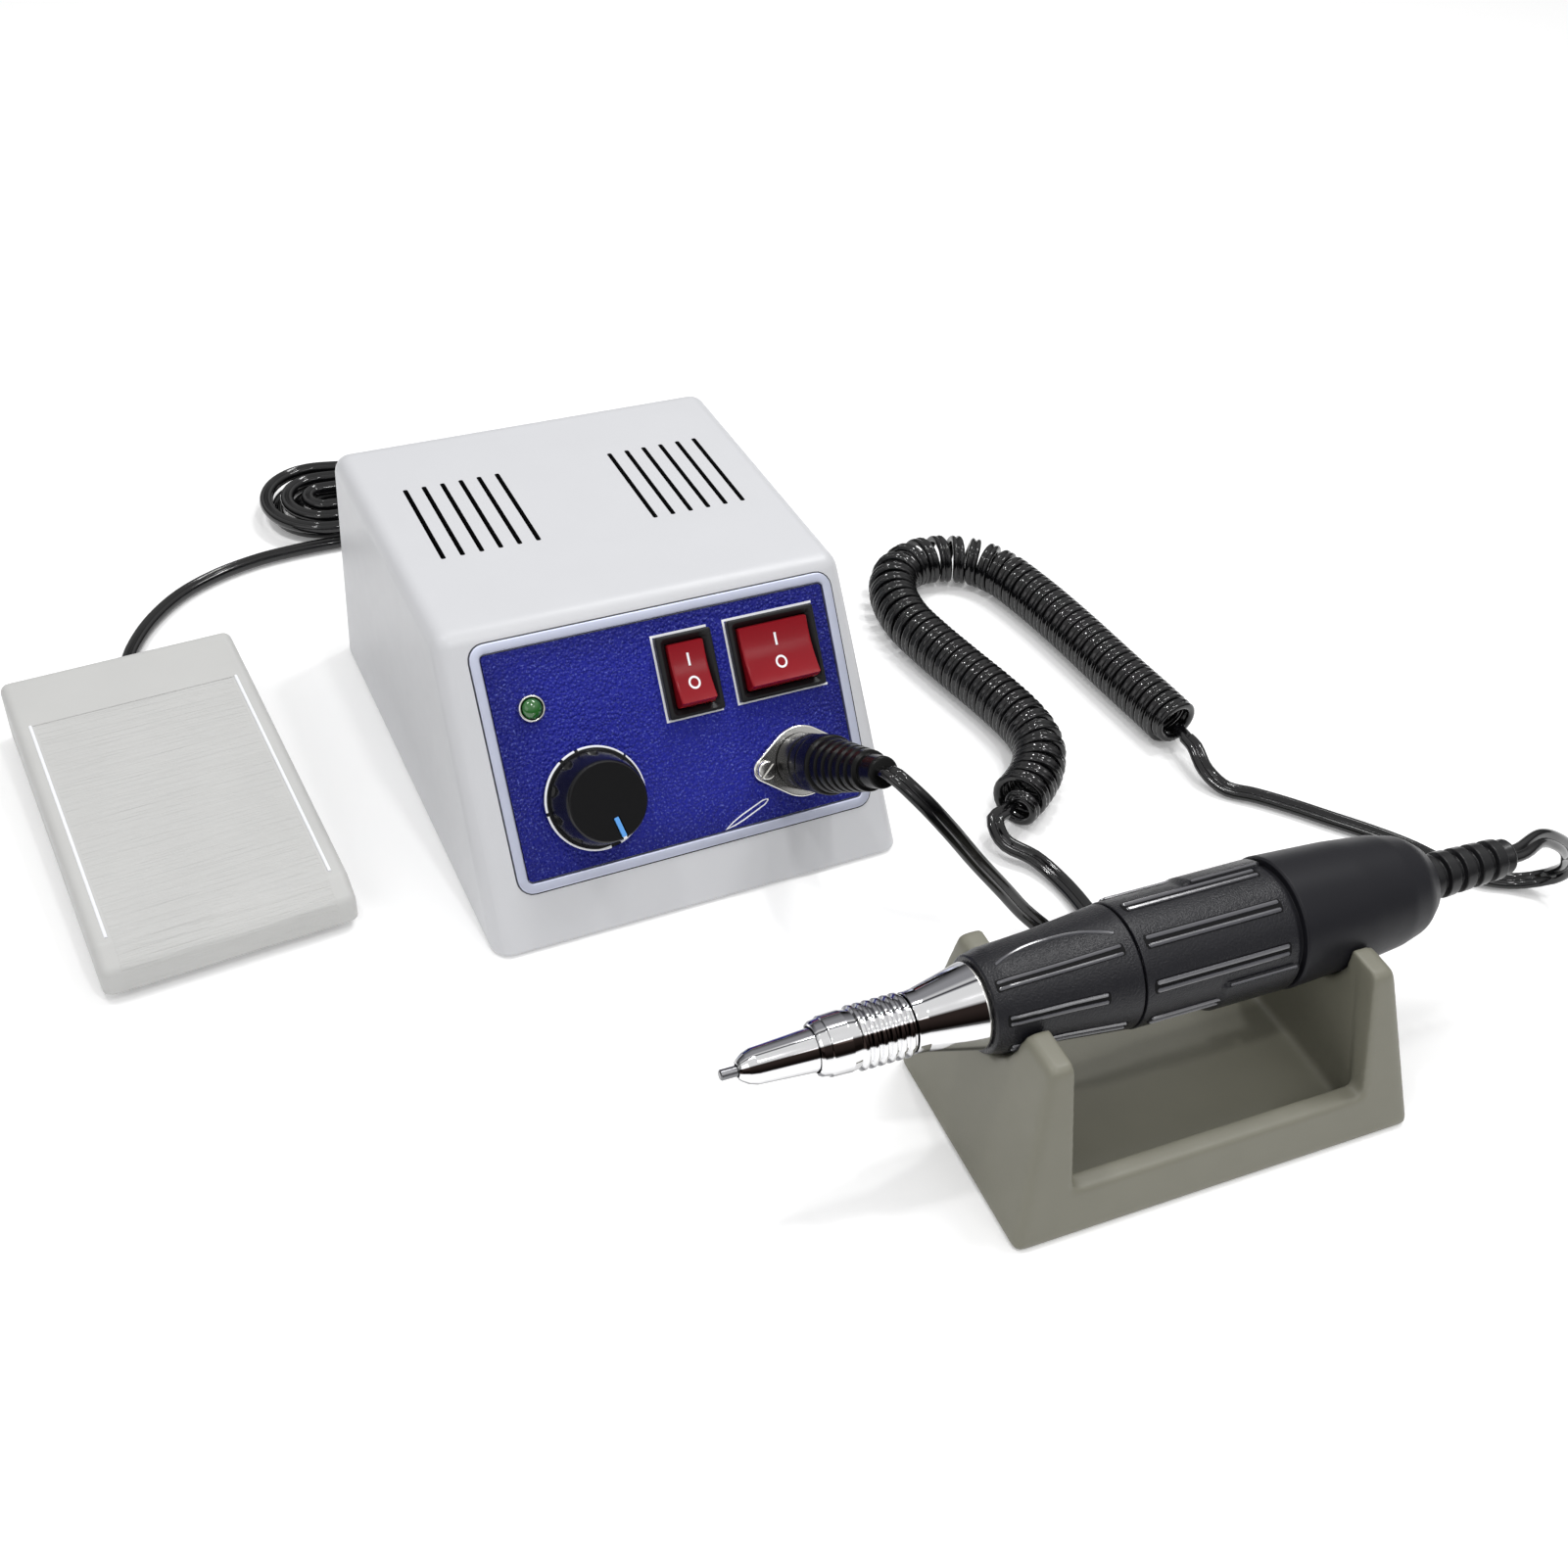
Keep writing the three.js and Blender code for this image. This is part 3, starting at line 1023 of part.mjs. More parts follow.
const hingeY = PEDAL_DEPTH - HINGE.back;
const hingeReach = [hingeY - HINGE.lugRadius, hingeY + HINGE.lugRadius];
const pedalMiddle = PEDAL_WIDTH / 2;

function hingeRod(radius, x0, x1, sides) {
  return at(alongX(rod(radius, x0, x1, sides)), 0, hingeY, HINGE.height);
}

function makeTreadle() {
  const low = -2 * PEDAL_ROUND;
  const outline = pedalCorners(low);
  const outer = sideBlock(outline, outline.map(() => PEDAL_ROUND), 0, PEDAL_WIDTH, PEDAL_EDGE);
  const inset = insetCorners(outline, PEDAL_WALL);
  const innerRounds = inset.map(() => PEDAL_ROUND - PEDAL_WALL);
  const innerEdge = PEDAL_EDGE - PEDAL_WALL;
  const inner = sideBlock(inset, innerRounds, PEDAL_WALL, PEDAL_WIDTH - PEDAL_WALL, innerEdge);
  const below = box(-OVERRUN, PEDAL_WIDTH + OVERRUN, 2 * low, PEDAL_DEPTH + 2 * OVERRUN, 2 * low, SKIRT_GAP);
  const lugs = [-1, 1].map((side) => {
    const middle = pedalMiddle + side * HINGE.span;
    const [x0, x1] = [middle - HINGE.lugWidth / 2, middle + HINGE.lugWidth / 2];
    const web = box(x0, x1, ...hingeReach, HINGE.height, PEDAL_BACK_HEIGHT);
    return join(hingeRod(HINGE.lugRadius, x0, x1), web).intersect(solid(outer));
  });
  const pinHole = solid(hingeRod(HINGE.radius + CLEARANCE, 0, PEDAL_WIDTH)).intersect(solid(inner));
  const notchHalf = GLAND.radius + 2 * CLEARANCE;
  const notch = box(pedalMiddle - notchHalf, pedalMiddle + notchHalf, PEDAL_DEPTH - 2 * PEDAL_WALL,
    PEDAL_DEPTH + 2 * OVERRUN, 0, GLAND.height + notchHalf);
  return cut(join(cut(outer, inner), ...lugs), below, pinHole, notch);
}

const glandFace = PEDAL_DEPTH + PEDAL_END_LEAN + GLAND.proud;

function makePedalBase() {
  const inset = PEDAL_WALL + PEDAL_PLAY;
  const outline = rectangle(inset, PEDAL_WIDTH - inset, inset, PEDAL_DEPTH - inset, PEDAL_ROUND - PEDAL_WALL);
  const floor = plate(outline, 0, PEDAL_BASE);
  const posts = [-1, 1].map((side) => {
    const reach = HINGE.span + HINGE.lugWidth / 2 + CLEARANCE * 2;
    const [a, b] = [pedalMiddle + side * reach, pedalMiddle + side * (reach + HINGE.postWidth)];
    const [x0, x1] = [Math.min(a, b), Math.max(a, b)];
    return join(hingeRod(HINGE.lugRadius, x0, x1), box(x0, x1, ...hingeReach, 0, HINGE.height));
  });
  const hole = hingeRod(HINGE.radius + CLEARANCE, 0, PEDAL_WIDTH);
  const glandStart = glandFace - GLAND.length;
  const gland = at(alongY(rod(GLAND.radius, glandStart, glandFace)), pedalMiddle, 0, GLAND.height);
  const saddleSides = [pedalMiddle - GLAND.radius, pedalMiddle + GLAND.radius];
  const saddleEnds = [glandStart, PEDAL_DEPTH - inset];
  const saddle = box(...saddleSides, ...saddleEnds, 0, GLAND.height);
  return join(cut(join(floor, ...posts), hole), gland, saddle);
}

piece(pedal, 'pedal_base', makePedalBase(), 'paleGrey');
piece(pedal, 'pedal_treadle', makeTreadle(), 'paleGrey');
const pinEnds = [pedalMiddle - HINGE_REACH, pedalMiddle + HINGE_REACH];
const hingePin = hingeRod(HINGE.radius, ...pinEnds, HIDDEN_TURN_STEPS);
piece(pedal, 'pedal_hinge_pin', hingePin, 'steel');

function makeSpring() {
  const { turns, wire } = SPRING;
  const radius = HINGE.radius + wire + CLEARANCE;
  const pitch = 2 * wire + 2 * CLEARANCE;
  const rings = [];
  const steps = turns * CURL.steps;
  for (let step = 0; step <= steps; step++) {
    const angle = step / CURL.steps * 2 * Math.PI;
    const outward = new THREE.Vector3(0, Math.cos(angle), Math.sin(angle));
    const centre = outward.clone().multiplyScalar(radius).setX((step / CURL.steps - turns / 2) * pitch);
    rings.push(sectionRing(centre, outward, X_AXIS, wire, wire, CURL.sides));
  }
  const aside = HINGE.span - HINGE.lugWidth / 2 - SPRING.gap - wire - turns * pitch / 2;
  return { rings, aside, geometry: sweep(rings) };
}

function sectionRing(centre, first, second, halfFirst, halfSecond, sides) {
  return Array.from({ length: sides }, (_, side) => {
    const angle = side / sides * 2 * Math.PI;
    const point = first.clone().multiplyScalar(halfFirst * Math.cos(angle));
    return point.addScaledVector(second, halfSecond * Math.sin(angle)).add(centre);
  });
}

const spring = makeSpring();
piece(pedal, 'pedal_spring', at(spring.geometry, pedalMiddle - spring.aside, hingeY, HINGE.height), 'steel');

function makePedalSwitch() {
  const { width, depth, height, button } = MICROSWITCH;
  const top = PEDAL_BASE + height;
  const body = box(-width / 2, width / 2, -depth / 2, depth / 2, PEDAL_BASE, top);
  return join(body, rod(button, PEDAL_BASE, top + button));
}

const pedalSwitch = piece(pedal, 'pedal_switch', makePedalSwitch(), 'black');
pedalSwitch.position.set(pedalMiddle, hingeY - MICROSWITCH.back, 0);

// Where the cords meet the pieces, in the frame of the set
set.updateMatrixWorld(true);

function placeOf(group, x, y, z) {
  return group.localToWorld(new THREE.Vector3(x, y, z));
}

function directionOf(group, axis) {
  return axis.clone().transformDirection(group.matrixWorld);
}

// Points of a straight stub that leaves a face squarely.
function stub(point, direction) {
  const start = point.clone().addScaledVector(direction, CLEARANCE);
  return [start, start.clone().addScaledVector(direction, 2 * CORD_RADIUS)];
}

const curlRoute = [[140.6, -3.2], [145.1, -1], [150.9, 2.4], [157.4, 7.6], [162.6, 14.4], [165, 21.4],
  [165.4, 29.5], [163.9, 42.5], [161.3, 57.2], [158.9, 72.5], [158, 84.5], [160.2, 96.8], [166, 106.2],
  [175.3, 110.6], [185.2, 109.6], [193.3, 104.6], [198.4, 96], [201.2, 82.5], [203.4, 62.1], [204.9, 37.6],
  [206.3, 19], [206.6, 11], [206.4, 5.2]].map(([x, y]) => new THREE.Vector3(x, y, CURL.axisHeight));
const curlCurve = new THREE.CatmullRomCurve3(curlRoute, false, 'centripetal');
curlCurve.arcLengthDivisions = 1000;

// Curly cord: a helix round the route, whose radius grows from nothing at both ends.
function makeCurls() {
  const length = curlCurve.getLength();
  const straight = 2 * CORD_RADIUS;
  const wound = CURL.radius - CURL.thickness / 2;
  const stations = curlStations(length, straight, wound);
  const last = stations.length - 1;
  const centres = stations.map((place, index) => {
    const growth = growthAt(index, last);
    const frame = curlFrame(place / length);
    const angle = (index - 2) / CURL.steps * 2 * Math.PI;
    const outward = frame.side.clone().multiplyScalar(Math.cos(angle));
    outward.addScaledVector(Z_AXIS, Math.sin(angle));
    return { ...frame, centre: frame.centre.addScaledVector(outward, wound * growth), growth };
  });
  const rings = centres.map(({ centre, along, side, growth }, index) => {
    const before = centres[Math.max(index - 1, 0)].centre;
    const after = centres[Math.min(index + 1, last)].centre;
    const heading = after.clone().sub(before).normalize();
    const wide = side.clone().multiplyScalar(1 - growth).addScaledVector(along, growth);
    wide.addScaledVector(heading, -wide.dot(heading)).normalize();
    const thick = heading.clone().cross(wide);
    return sectionRing(centre, wide, thick, CURL.width / 2, CURL.thickness / 2, CURL.sides);
  });
  return rings;
}

// How far the winding has grown, 0 on the straight ends and 1 on a full curl.
function growthAt(index, last) {
  const fromEnd = Math.min(index, last - index) - 1;
  return THREE.MathUtils.clamp(fromEnd / (CURL.steps / 2), 0, 1);
}

function curlFrame(share) {
  const along = curlCurve.getTangentAt(Math.min(share, 1));
  const centre = curlCurve.getPointAt(Math.min(share, 1));
  return { centre, along, side: new THREE.Vector3(-along.y, along.x, 0) };
}

// Places along the route, a wider step where it bends so that the curls stay apart inside the bend.
function curlStations(length, straight, wound) {
  const raw = [0];
  let place = straight;
  while (place < length - straight) {
    raw.push(place);
    const reach = CURL.radius;
    const a = curlFrame(Math.max(place - reach, 0) / length).along;
    const b = curlFrame(Math.min(place + reach, length) / length).along;
    const bend = a.angleTo(b) / (2 * reach);
    place += (CURL.width + CURL.gap) / (1 - bend * wound) / CURL.steps;
  }
  const scale = (length - 2 * straight) / (raw.at(-1) - straight);
  return [...raw.map((value, index) => (index === 0 ? 0 : straight + (value - straight) * scale)), length];
}

const curlRings = makeCurls();
piece(set, 'curly_cord', sweep(curlRings), 'rubber');

// Straight leads of the handpiece cord
const plugEnd = placeOf(plugPlace, 0, 0, PLUG_BOOT.collarEnd);
const curlStart = curlCurve.getPointAt(0);
const curlEnd = curlCurve.getPointAt(1);
const plugLead = tube([...stub(plugEnd, directionOf(plugPlace, Z_AXIS)), ...toPoints([[93, -33.6, 52],
  [100, -36.5, 43], [108.5, -37.5, 31], [117.5, -38.5, 19], [125, -39.5, 9], [130.5, -42, FLOOR_LINE + 1],
  [133, -47.5, FLOOR_LINE], [138.5, -51, FLOOR_LINE], [144, -47, FLOOR_LINE], [145, -38, FLOOR_LINE],
  [144.6, -28, FLOOR_LINE], [142, -18.5, FLOOR_LINE + 1], [136.5, -11, 5]]),
  ...stub(curlStart, curlCurve.getTangentAt(0).negate()).reverse()]);
piece(set, 'plug_lead', plugLead.geometry, 'rubber');
const bootEnd = placeOf(handpiece, BOOT.end, 0, 0);
const handsetLead = tube([...stub(curlEnd, curlCurve.getTangentAt(1)), ...toPoints([[205.5, -6, 5],
  [208.5, -12.5, FLOOR_LINE], [214.5, -18, FLOOR_LINE], [221.5, -25.5, FLOOR_LINE],
  [228.1, -33.5, FLOOR_LINE], [235.5, -42.5, FLOOR_LINE], [241.9, -51.5, FLOOR_LINE],
  [246.6, -60.5, FLOOR_LINE], [252.5, -68.5, FLOOR_LINE], [260, -73, FLOOR_LINE],
  [265.5, -77.5, 6], [264, -82.5, 14], [257.5, -85.5, 24], [248.5, -87.2, 32.5], [239, -88.2, 38]]),
  ...stub(bootEnd, directionOf(handpiece, X_AXIS)).reverse()]);
piece(set, 'handset_lead', handsetLead.geometry, 'rubber');

// Hank of the pedal cord: stadium loops that spiral in on the lower layer and out again on the upper one.
const hankPitch = (2 * CORD_RADIUS + HANK.gap) / WAIST_SHARE;
const hankRun = HANK.halfLength - HANK.halfWidth;
const runShare = 1 / 6;

// A place on a stadium of the stated end radius, from its run near the box, anticlockwise from above.
function stadiumPlace(turn, radius) {
  const part = turn * 2 % 1;
  const side = turn * 2 % 2 < 1 ? 1 : -1;
  if (part < 2 * runShare) {
    const x = THREE.MathUtils.lerp(-hankRun, hankRun, part / (2 * runShare));
    const waist = 1 - (1 - WAIST_SHARE) * Math.cos(x / hankRun * Math.PI / 2) ** 2;
    return new THREE.Vector3(side * x, -side * radius * waist, 0);
  }
  const angle = (part - 2 * runShare) / (1 - 2 * runShare) * Math.PI - Math.PI / 2;
  return new THREE.Vector3(side * (hankRun + radius * Math.cos(angle)), side * radius * Math.sin(angle), 0);
}

function makeHank() {
  const climb = 2 * CORD_RADIUS + HANK.gap;
  const total = HANK.loops * HANK.steps + HANK.steps * runShare;
  const centre = new THREE.Vector3(HANK.x, HANK.y, FLOOR_LINE);
  const half = HANK.steps / 4;
  const points = [];
  for (let step = 0; step <= total; step++) {
    const inward = Math.min(total / 2 - half, total / 2 - Math.max(Math.abs(step - total / 2), half));
    const radius = HANK.halfWidth - inward / HANK.steps * hankPitch;
    const rise = THREE.MathUtils.smoothstep(step, total / 2 - half, total / 2 + half) * climb;
    points.push(stadiumPlace(step / HANK.steps, radius).add(centre).setZ(FLOOR_LINE + rise));
  }
  const stubLength = 2 * CORD_RADIUS;
  const first = points[0].clone().addScaledVector(X_AXIS, -stubLength);
  const last = points.at(-1).clone().addScaledVector(X_AXIS, stubLength);
  return [first, ...points, last];
}

function ringsAlong(points, sides) {
  return points.map((point, index) => {
    const before = points[Math.max(index - 1, 0)];
    const after = points[Math.min(index + 1, points.length - 1)];
    const heading = after.clone().sub(before).normalize();
    const side = heading.clone().cross(Z_AXIS).normalize();
    return sectionRing(point, side, side.clone().cross(heading), CORD_RADIUS, CORD_RADIUS, sides);
  });
}

const hankPoints = makeHank();
const hankRings = ringsAlong(hankPoints, HANK.sides);
piece(set, 'pedal_hank', sweep(hankRings), 'rubber');

// Tie round the waist of the hank, whose legs reach down beside it nearly to the surface.
function makeTie() {
  const halfWaist = HANK.halfWidth * WAIST_SHARE + CORD_RADIUS + 2 * CLEARANCE;
  const top = FLOOR_LINE + 3 * CORD_RADIUS + HANK.gap + 2 * CLEARANCE;
  const [x0, x1] = [HANK.x - TIE.width / 2, HANK.x + TIE.width / 2];
  const outside = halfWaist + TIE.thickness;
  const outer = box(x0, x1, HANK.y - outside, HANK.y + outside, CLEARANCE, top + TIE.thickness);
  const inner = box(x0 - OVERRUN, x1 + OVERRUN, HANK.y - halfWaist, HANK.y + halfWaist, 0, top);
  return cut(outer, inner);
}

piece(set, 'hank_tie', makeTie(), 'rubber');

const glandEnd = placeOf(pedal, pedalMiddle, glandFace, GLAND.height);
const hankStart = hankPoints[0];
const hankEnd = hankPoints.at(-1);
const pedalLead = tube([...stub(glandEnd, directionOf(pedal, Y_AXIS)), ...toPoints([
  [-61.5, 146, FLOOR_LINE + 0.8], [-57.5, 156.5, FLOOR_LINE], [-50.5, 167.5, FLOOR_LINE],
  [-40, 178, FLOOR_LINE], [-27.5, 185, FLOOR_LINE], [-14, 189, FLOOR_LINE], [-3, 190.2, FLOOR_LINE]]),
  ...stub(hankStart, X_AXIS.clone().negate()).reverse()]);
piece(set, 'pedal_lead', pedalLead.geometry, 'rubber');
const jackEnd = placeOf(jackPlace, 0, 0, jackTail);
const jackLead = tube([...stub(hankEnd, X_AXIS), ...toPoints([[79, 189.5, 9], [85, 184.5, 14.5]]),
  ...stub(jackEnd, directionOf(jackPlace, Z_AXIS)).reverse()]);
piece(set, 'jack_lead', jackLead.geometry, 'rubber');

// Lengths and least gaps of the wound cords
function lengthOf(rings) {
  const middles = rings.map((ring) => ring.reduce((sum, point) => sum.add(point), new THREE.Vector3())
    .divideScalar(ring.length));
  return middles.slice(1).reduce((sum, point, index) => sum + point.distanceTo(middles[index]), 0);
}

console.log('curls', Math.round(curlRings.length / CURL.steps), 'length', lengthOf(curlRings).toFixed(0),
  'least gap', leastGap(curlRings, CURL.steps / 2 + 1).toFixed(2));
console.log('hank length', lengthOf(hankRings).toFixed(0),
  'least gap', leastGap(hankRings, HANK.steps / 4).toFixed(2));
console.log('spring least gap', leastGap(spring.rings, CURL.steps / 2 + 1).toFixed(2));
const leads = [plugLead, handsetLead, pedalLead, jackLead];
console.log('leads', leads.map((lead) => lead.length.toFixed(0)).join(' '));

// The set is centred over its own ground, measured without its cords.
const cordNames = new Set(['plug_barrel', 'plug_boot', 'plug_lead', 'curly_cord', 'handset_lead',
  'pedal_lead', 'pedal_hank', 'hank_tie', 'jack_lead', 'pedal_plug']);
const bounds = new THREE.Box3();
set.traverse((object) => {
  if (object.isMesh && !cordNames.has(object.name)) bounds.expandByObject(object, true);
});
const middle = bounds.getCenter(new THREE.Vector3());
set.position.set(-middle.x, -middle.y, -bounds.min.z);
set.updateMatrixWorld(true);

export default set;
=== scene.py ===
"""Looks of a bench micromotor set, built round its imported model.

Outlines and profiles are in millimetres in each piece's own frame, and places in the scene in metres.
"""

import json
import math

import bmesh
import bpy
from bpy.props import FloatProperty, FloatVectorProperty, IntProperty, PointerProperty
from mathutils import Euler, Matrix, Vector

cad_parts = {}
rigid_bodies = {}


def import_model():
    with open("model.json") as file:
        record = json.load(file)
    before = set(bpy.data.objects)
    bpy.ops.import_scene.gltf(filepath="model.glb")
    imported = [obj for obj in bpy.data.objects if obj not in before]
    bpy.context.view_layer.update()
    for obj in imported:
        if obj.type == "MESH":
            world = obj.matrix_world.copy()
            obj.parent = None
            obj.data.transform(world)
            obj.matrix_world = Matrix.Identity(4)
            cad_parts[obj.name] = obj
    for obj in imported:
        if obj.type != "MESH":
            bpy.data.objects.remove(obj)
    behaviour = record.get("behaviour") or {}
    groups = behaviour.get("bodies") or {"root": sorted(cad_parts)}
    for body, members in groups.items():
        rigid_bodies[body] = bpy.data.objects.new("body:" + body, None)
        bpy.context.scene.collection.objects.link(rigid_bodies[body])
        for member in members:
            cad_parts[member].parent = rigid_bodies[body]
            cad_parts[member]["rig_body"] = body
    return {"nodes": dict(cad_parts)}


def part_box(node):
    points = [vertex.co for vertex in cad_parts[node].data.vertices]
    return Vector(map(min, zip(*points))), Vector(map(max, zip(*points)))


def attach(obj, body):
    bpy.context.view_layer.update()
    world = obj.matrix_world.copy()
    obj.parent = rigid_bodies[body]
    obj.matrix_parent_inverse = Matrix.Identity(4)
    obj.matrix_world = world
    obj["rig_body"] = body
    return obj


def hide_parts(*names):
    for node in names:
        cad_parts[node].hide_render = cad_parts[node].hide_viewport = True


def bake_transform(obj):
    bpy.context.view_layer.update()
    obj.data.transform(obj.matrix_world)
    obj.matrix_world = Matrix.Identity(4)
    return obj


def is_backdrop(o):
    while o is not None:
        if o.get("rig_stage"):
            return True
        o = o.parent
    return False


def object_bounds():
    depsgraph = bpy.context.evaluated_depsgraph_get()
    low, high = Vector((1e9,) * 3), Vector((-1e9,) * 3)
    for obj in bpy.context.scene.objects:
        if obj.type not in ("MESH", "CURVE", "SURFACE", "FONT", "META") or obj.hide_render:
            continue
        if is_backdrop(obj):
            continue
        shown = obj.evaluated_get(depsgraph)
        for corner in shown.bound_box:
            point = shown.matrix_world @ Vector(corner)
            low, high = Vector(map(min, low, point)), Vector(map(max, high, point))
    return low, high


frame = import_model()

bl_info = {
    "name": "Bench micromotor set",
    "version": (1, 0, 0),
    "blender": (4, 5, 0),
    "location": "View3D > Sidebar > Micromotor",
    "description": "Builds the looks of a micromotor control box, handpiece, cradle, cords and foot pedal",
    "category": "Object",
}

MM = 0.001
X_AXIS = Vector((1, 0, 0))
Z_AXIS = Vector((0, 0, 1))
GAP = 0.3
SHARPEST = 0.01

# Control box
BOX_WIDTH = 112
BOX_DEPTH = 139.5
BOX_HEIGHT = 66
BOX_LEAN = 46
BOX_WALL = 2.5
BOX_EDGE = 4.5
BOX_CORNER = 6
BOX_LOW = -12
SIDE_DRAFT = 1.6
SLOPE_ANGLE = math.atan2(BOX_HEIGHT, BOX_LEAN)
FOOT_HEIGHT = 1.2
VENT = {"pitch": 5.05, "width": 1.3, "length": 34.5, "centre": 28.8, "front": 78}

# Panel on the slope
PANEL = (9.2, 106.2, 14.8, 77.1)
PANEL_CORNER = 4
TRIM_WIDTH = 2.6
PANEL_TOP = 0.1
PANEL_RECESS = 1.2
PEN = ((64.6, 17.9), (77.7, 22.9))
KNOB_PLACE = (32.5, 34.3)
KNOB_TURN = -1.333
KNOB = {"skirt": 2.3, "body": 9.2, "waist": 11.9, "neck": 10.2}
FLUTE = {"count": 10, "centre": 13.6, "radius": 2.6, "low": 3}
SWITCHES = {
    "power": {"place": (87.2, 59.3), "width": 24, "rocker": 19.1, "beyond": 0.9},
    "mode": {"place": (63.1, 59.1), "width": 15, "rocker": 9.6, "beyond": 0},
}
SWITCH_HEIGHT = 21
ROCKER_REACH = 7.5
ROCKER_RISE = 3.2
ROCKER_RADIUS = math.hypot(ROCKER_REACH, ROCKER_RISE)
ROCKER_DISH = 0.8
ROCKER_TILT = 0.19
LED_PLACE = (21.6, 59.4)
SOCKET_PLACE = (88.3, 30.6)
SCREW_SPACING = 10.5
SCREW_HOLE = 1.6
FLANGE = {"radius": 9.35, "ear": 3.2, "top": 1.9}

# Back wall
INLET_PLACE = (32, 28)
FUSE_PLACE = (64, 28)
JACK_PLACE = (86, 22)
JACK_TAIL = 27.6
INLET_HOLE = (13.3, 9.3)
ROUND_HOLES = ((FUSE_PLACE, 6.1), (JACK_PLACE, 5.5))

# Cradle, handpiece and pedal
CRADLE_PLACE = (74.4, -121.7)
CRADLE_TURN = -0.0454
HANDPIECE_START = (-55, 37.1, 40)
PEDAL_PLACE = (-88.2, 21.6)
PEDAL_TURN = 0.061
PEDAL_WIDTH = 61.5
PEDAL_DEPTH = 108
PEDAL_WALL = 2.2
TREAD_FRONT = (6.5, 13.2)
TREAD_BACK = (PEDAL_DEPTH, 19.6)
TREAD_BORDER = {"side": 5.2, "back": 21}
HINGE = (99, 9.5)
GLAND = (30.75, 110, 4.4)

# Handpiece, by stations and radii along its axis; degrees count from the top towards the front
SLEEVE_OUTLINE = ((58.2, 10.7), (62, 11.7), (75, 12.4), (92.4, 14.2))
GRIP_OUTLINE = ((92, 14.4), (132, 14.5))
FLANK_OUTLINE = ((110, 15.1), (132, 15.2))
FLANKS = (120, -60)
FLANK_STEP = (111.3, 113.1)
GRIP_BORE = 10.8
GRIP_ENDS = (92.7, 131.9)
GRIP_RIMS = {92.7: 0.4, 92.8: 0.15, 131.8: 0.15, 131.9: 0.4}
GRIP_SIDES = 225
PAIR_APART = 3.6

# Cords, in the frame of the set
PLUG_END = 50
BOOT_END = 202.9
FLOOR_LINE = 2.4
COIL_HEIGHT = 7.6
COIL_RADIUS = 6.4
BEND_REACH = 14
COIL_ROUTE = (
    (140.6, -3.2), (145.1, -1), (150.9, 2.4), (157.4, 7.6), (162.6, 14.4), (165, 21.4), (165.4, 29.5),
    (163.9, 42.5), (161.3, 57.2), (158.9, 72.5), (158, 84.5), (160.2, 96.8), (166, 106.2), (175.3, 110.6),
    (185.2, 109.6), (193.3, 104.6), (198.4, 96), (201.2, 82.5), (203.4, 62.1), (204.9, 37.6), (206.3, 19),
    (206.6, 11), (206.4, 5.2),
)
PLUG_ROUTE = (
    (93, -33.6, 52), (100, -36.5, 43), (108.5, -37.5, 31), (117.5, -38.5, 19), (125, -39.5, 9),
    (130.5, -42, 3.4), (133, -47.5, 2.4), (138.5, -51, 2.4), (144, -47, 2.4), (145, -38, 2.4),
    (144.6, -28, 2.4), (142, -18.5, 3.4), (136.5, -11, 5),
)
HANDSET_ROUTE = (
    (205.5, -6, 5), (208.5, -12.5, 2.4), (214.5, -18, 2.4), (221.5, -25.5, 2.4), (228.1, -33.5, 2.4),
    (235.5, -42.5, 2.4), (241.9, -51.5, 2.4), (246.6, -60.5, 2.4), (252.5, -68.5, 2.4), (260, -73, 2.4),
    (265.5, -77.5, 6), (264, -82.5, 14), (257.5, -85.5, 24), (248.5, -87.2, 32.5), (239, -88.2, 38),
)
PEDAL_ROUTE = (
    (-61.5, 146, 3.2), (-57.5, 156.5, 2.4), (-50.5, 167.5, 2.4), (-40, 178, 2.4), (-27.5, 185, 2.4),
    (-14, 189, 2.4), (-3, 190.2, 2.4),
)
JACK_ROUTE = ((79, 189.5, 9), (85, 184.5, 14.5))
HANK = {"centre": (37, 211), "run": 24.5, "radius": 20.5, "loops": 6, "waist": 0.74, "pitch": 4.8}
ROUND_CORD = 2.1
STRAIGHT = 4.2
TUCK = 0.6


# Frames

def shift(x, y, z=0):
    return Matrix.Translation(Vector((x, y, z)) * MM)


def turn(angle, axis):
    return Matrix.Rotation(angle, 4, axis)


shell_low, shell_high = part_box("housing_shell")
BACK_MIDDLE = Matrix.Translation(((shell_low.x + shell_high.x) / 2, shell_high.y, 0))
SET = BACK_MIDDLE @ shift(-BOX_WIDTH / 2, -BOX_DEPTH)
SLOPE = SET @ turn(SLOPE_ANGLE, "X")
CRADLE = SET @ shift(*CRADLE_PLACE) @ turn(CRADLE_TURN, "Z")
HANDPIECE = CRADLE @ shift(*HANDPIECE_START) @ turn(math.pi / 2, "Y")
PEDAL = SET @ shift(*PEDAL_PLACE) @ turn(PEDAL_TURN, "Z")
PLUG = SLOPE @ shift(*SOCKET_PLACE, PANEL_TOP)


def on_slope(place):
    return SLOPE @ shift(*place, PANEL_TOP)


def on_back(place):
    return SET @ shift(place[0], BOX_DEPTH, place[1]) @ turn(-math.pi / 2, "X")


def in_set(place, x=0, y=0, z=0):
    """A point of another frame, in the millimetres of the set's frame."""
    return (SET.inverted() @ place @ (Vector((x, y, z)) * MM)) / MM


# Materials

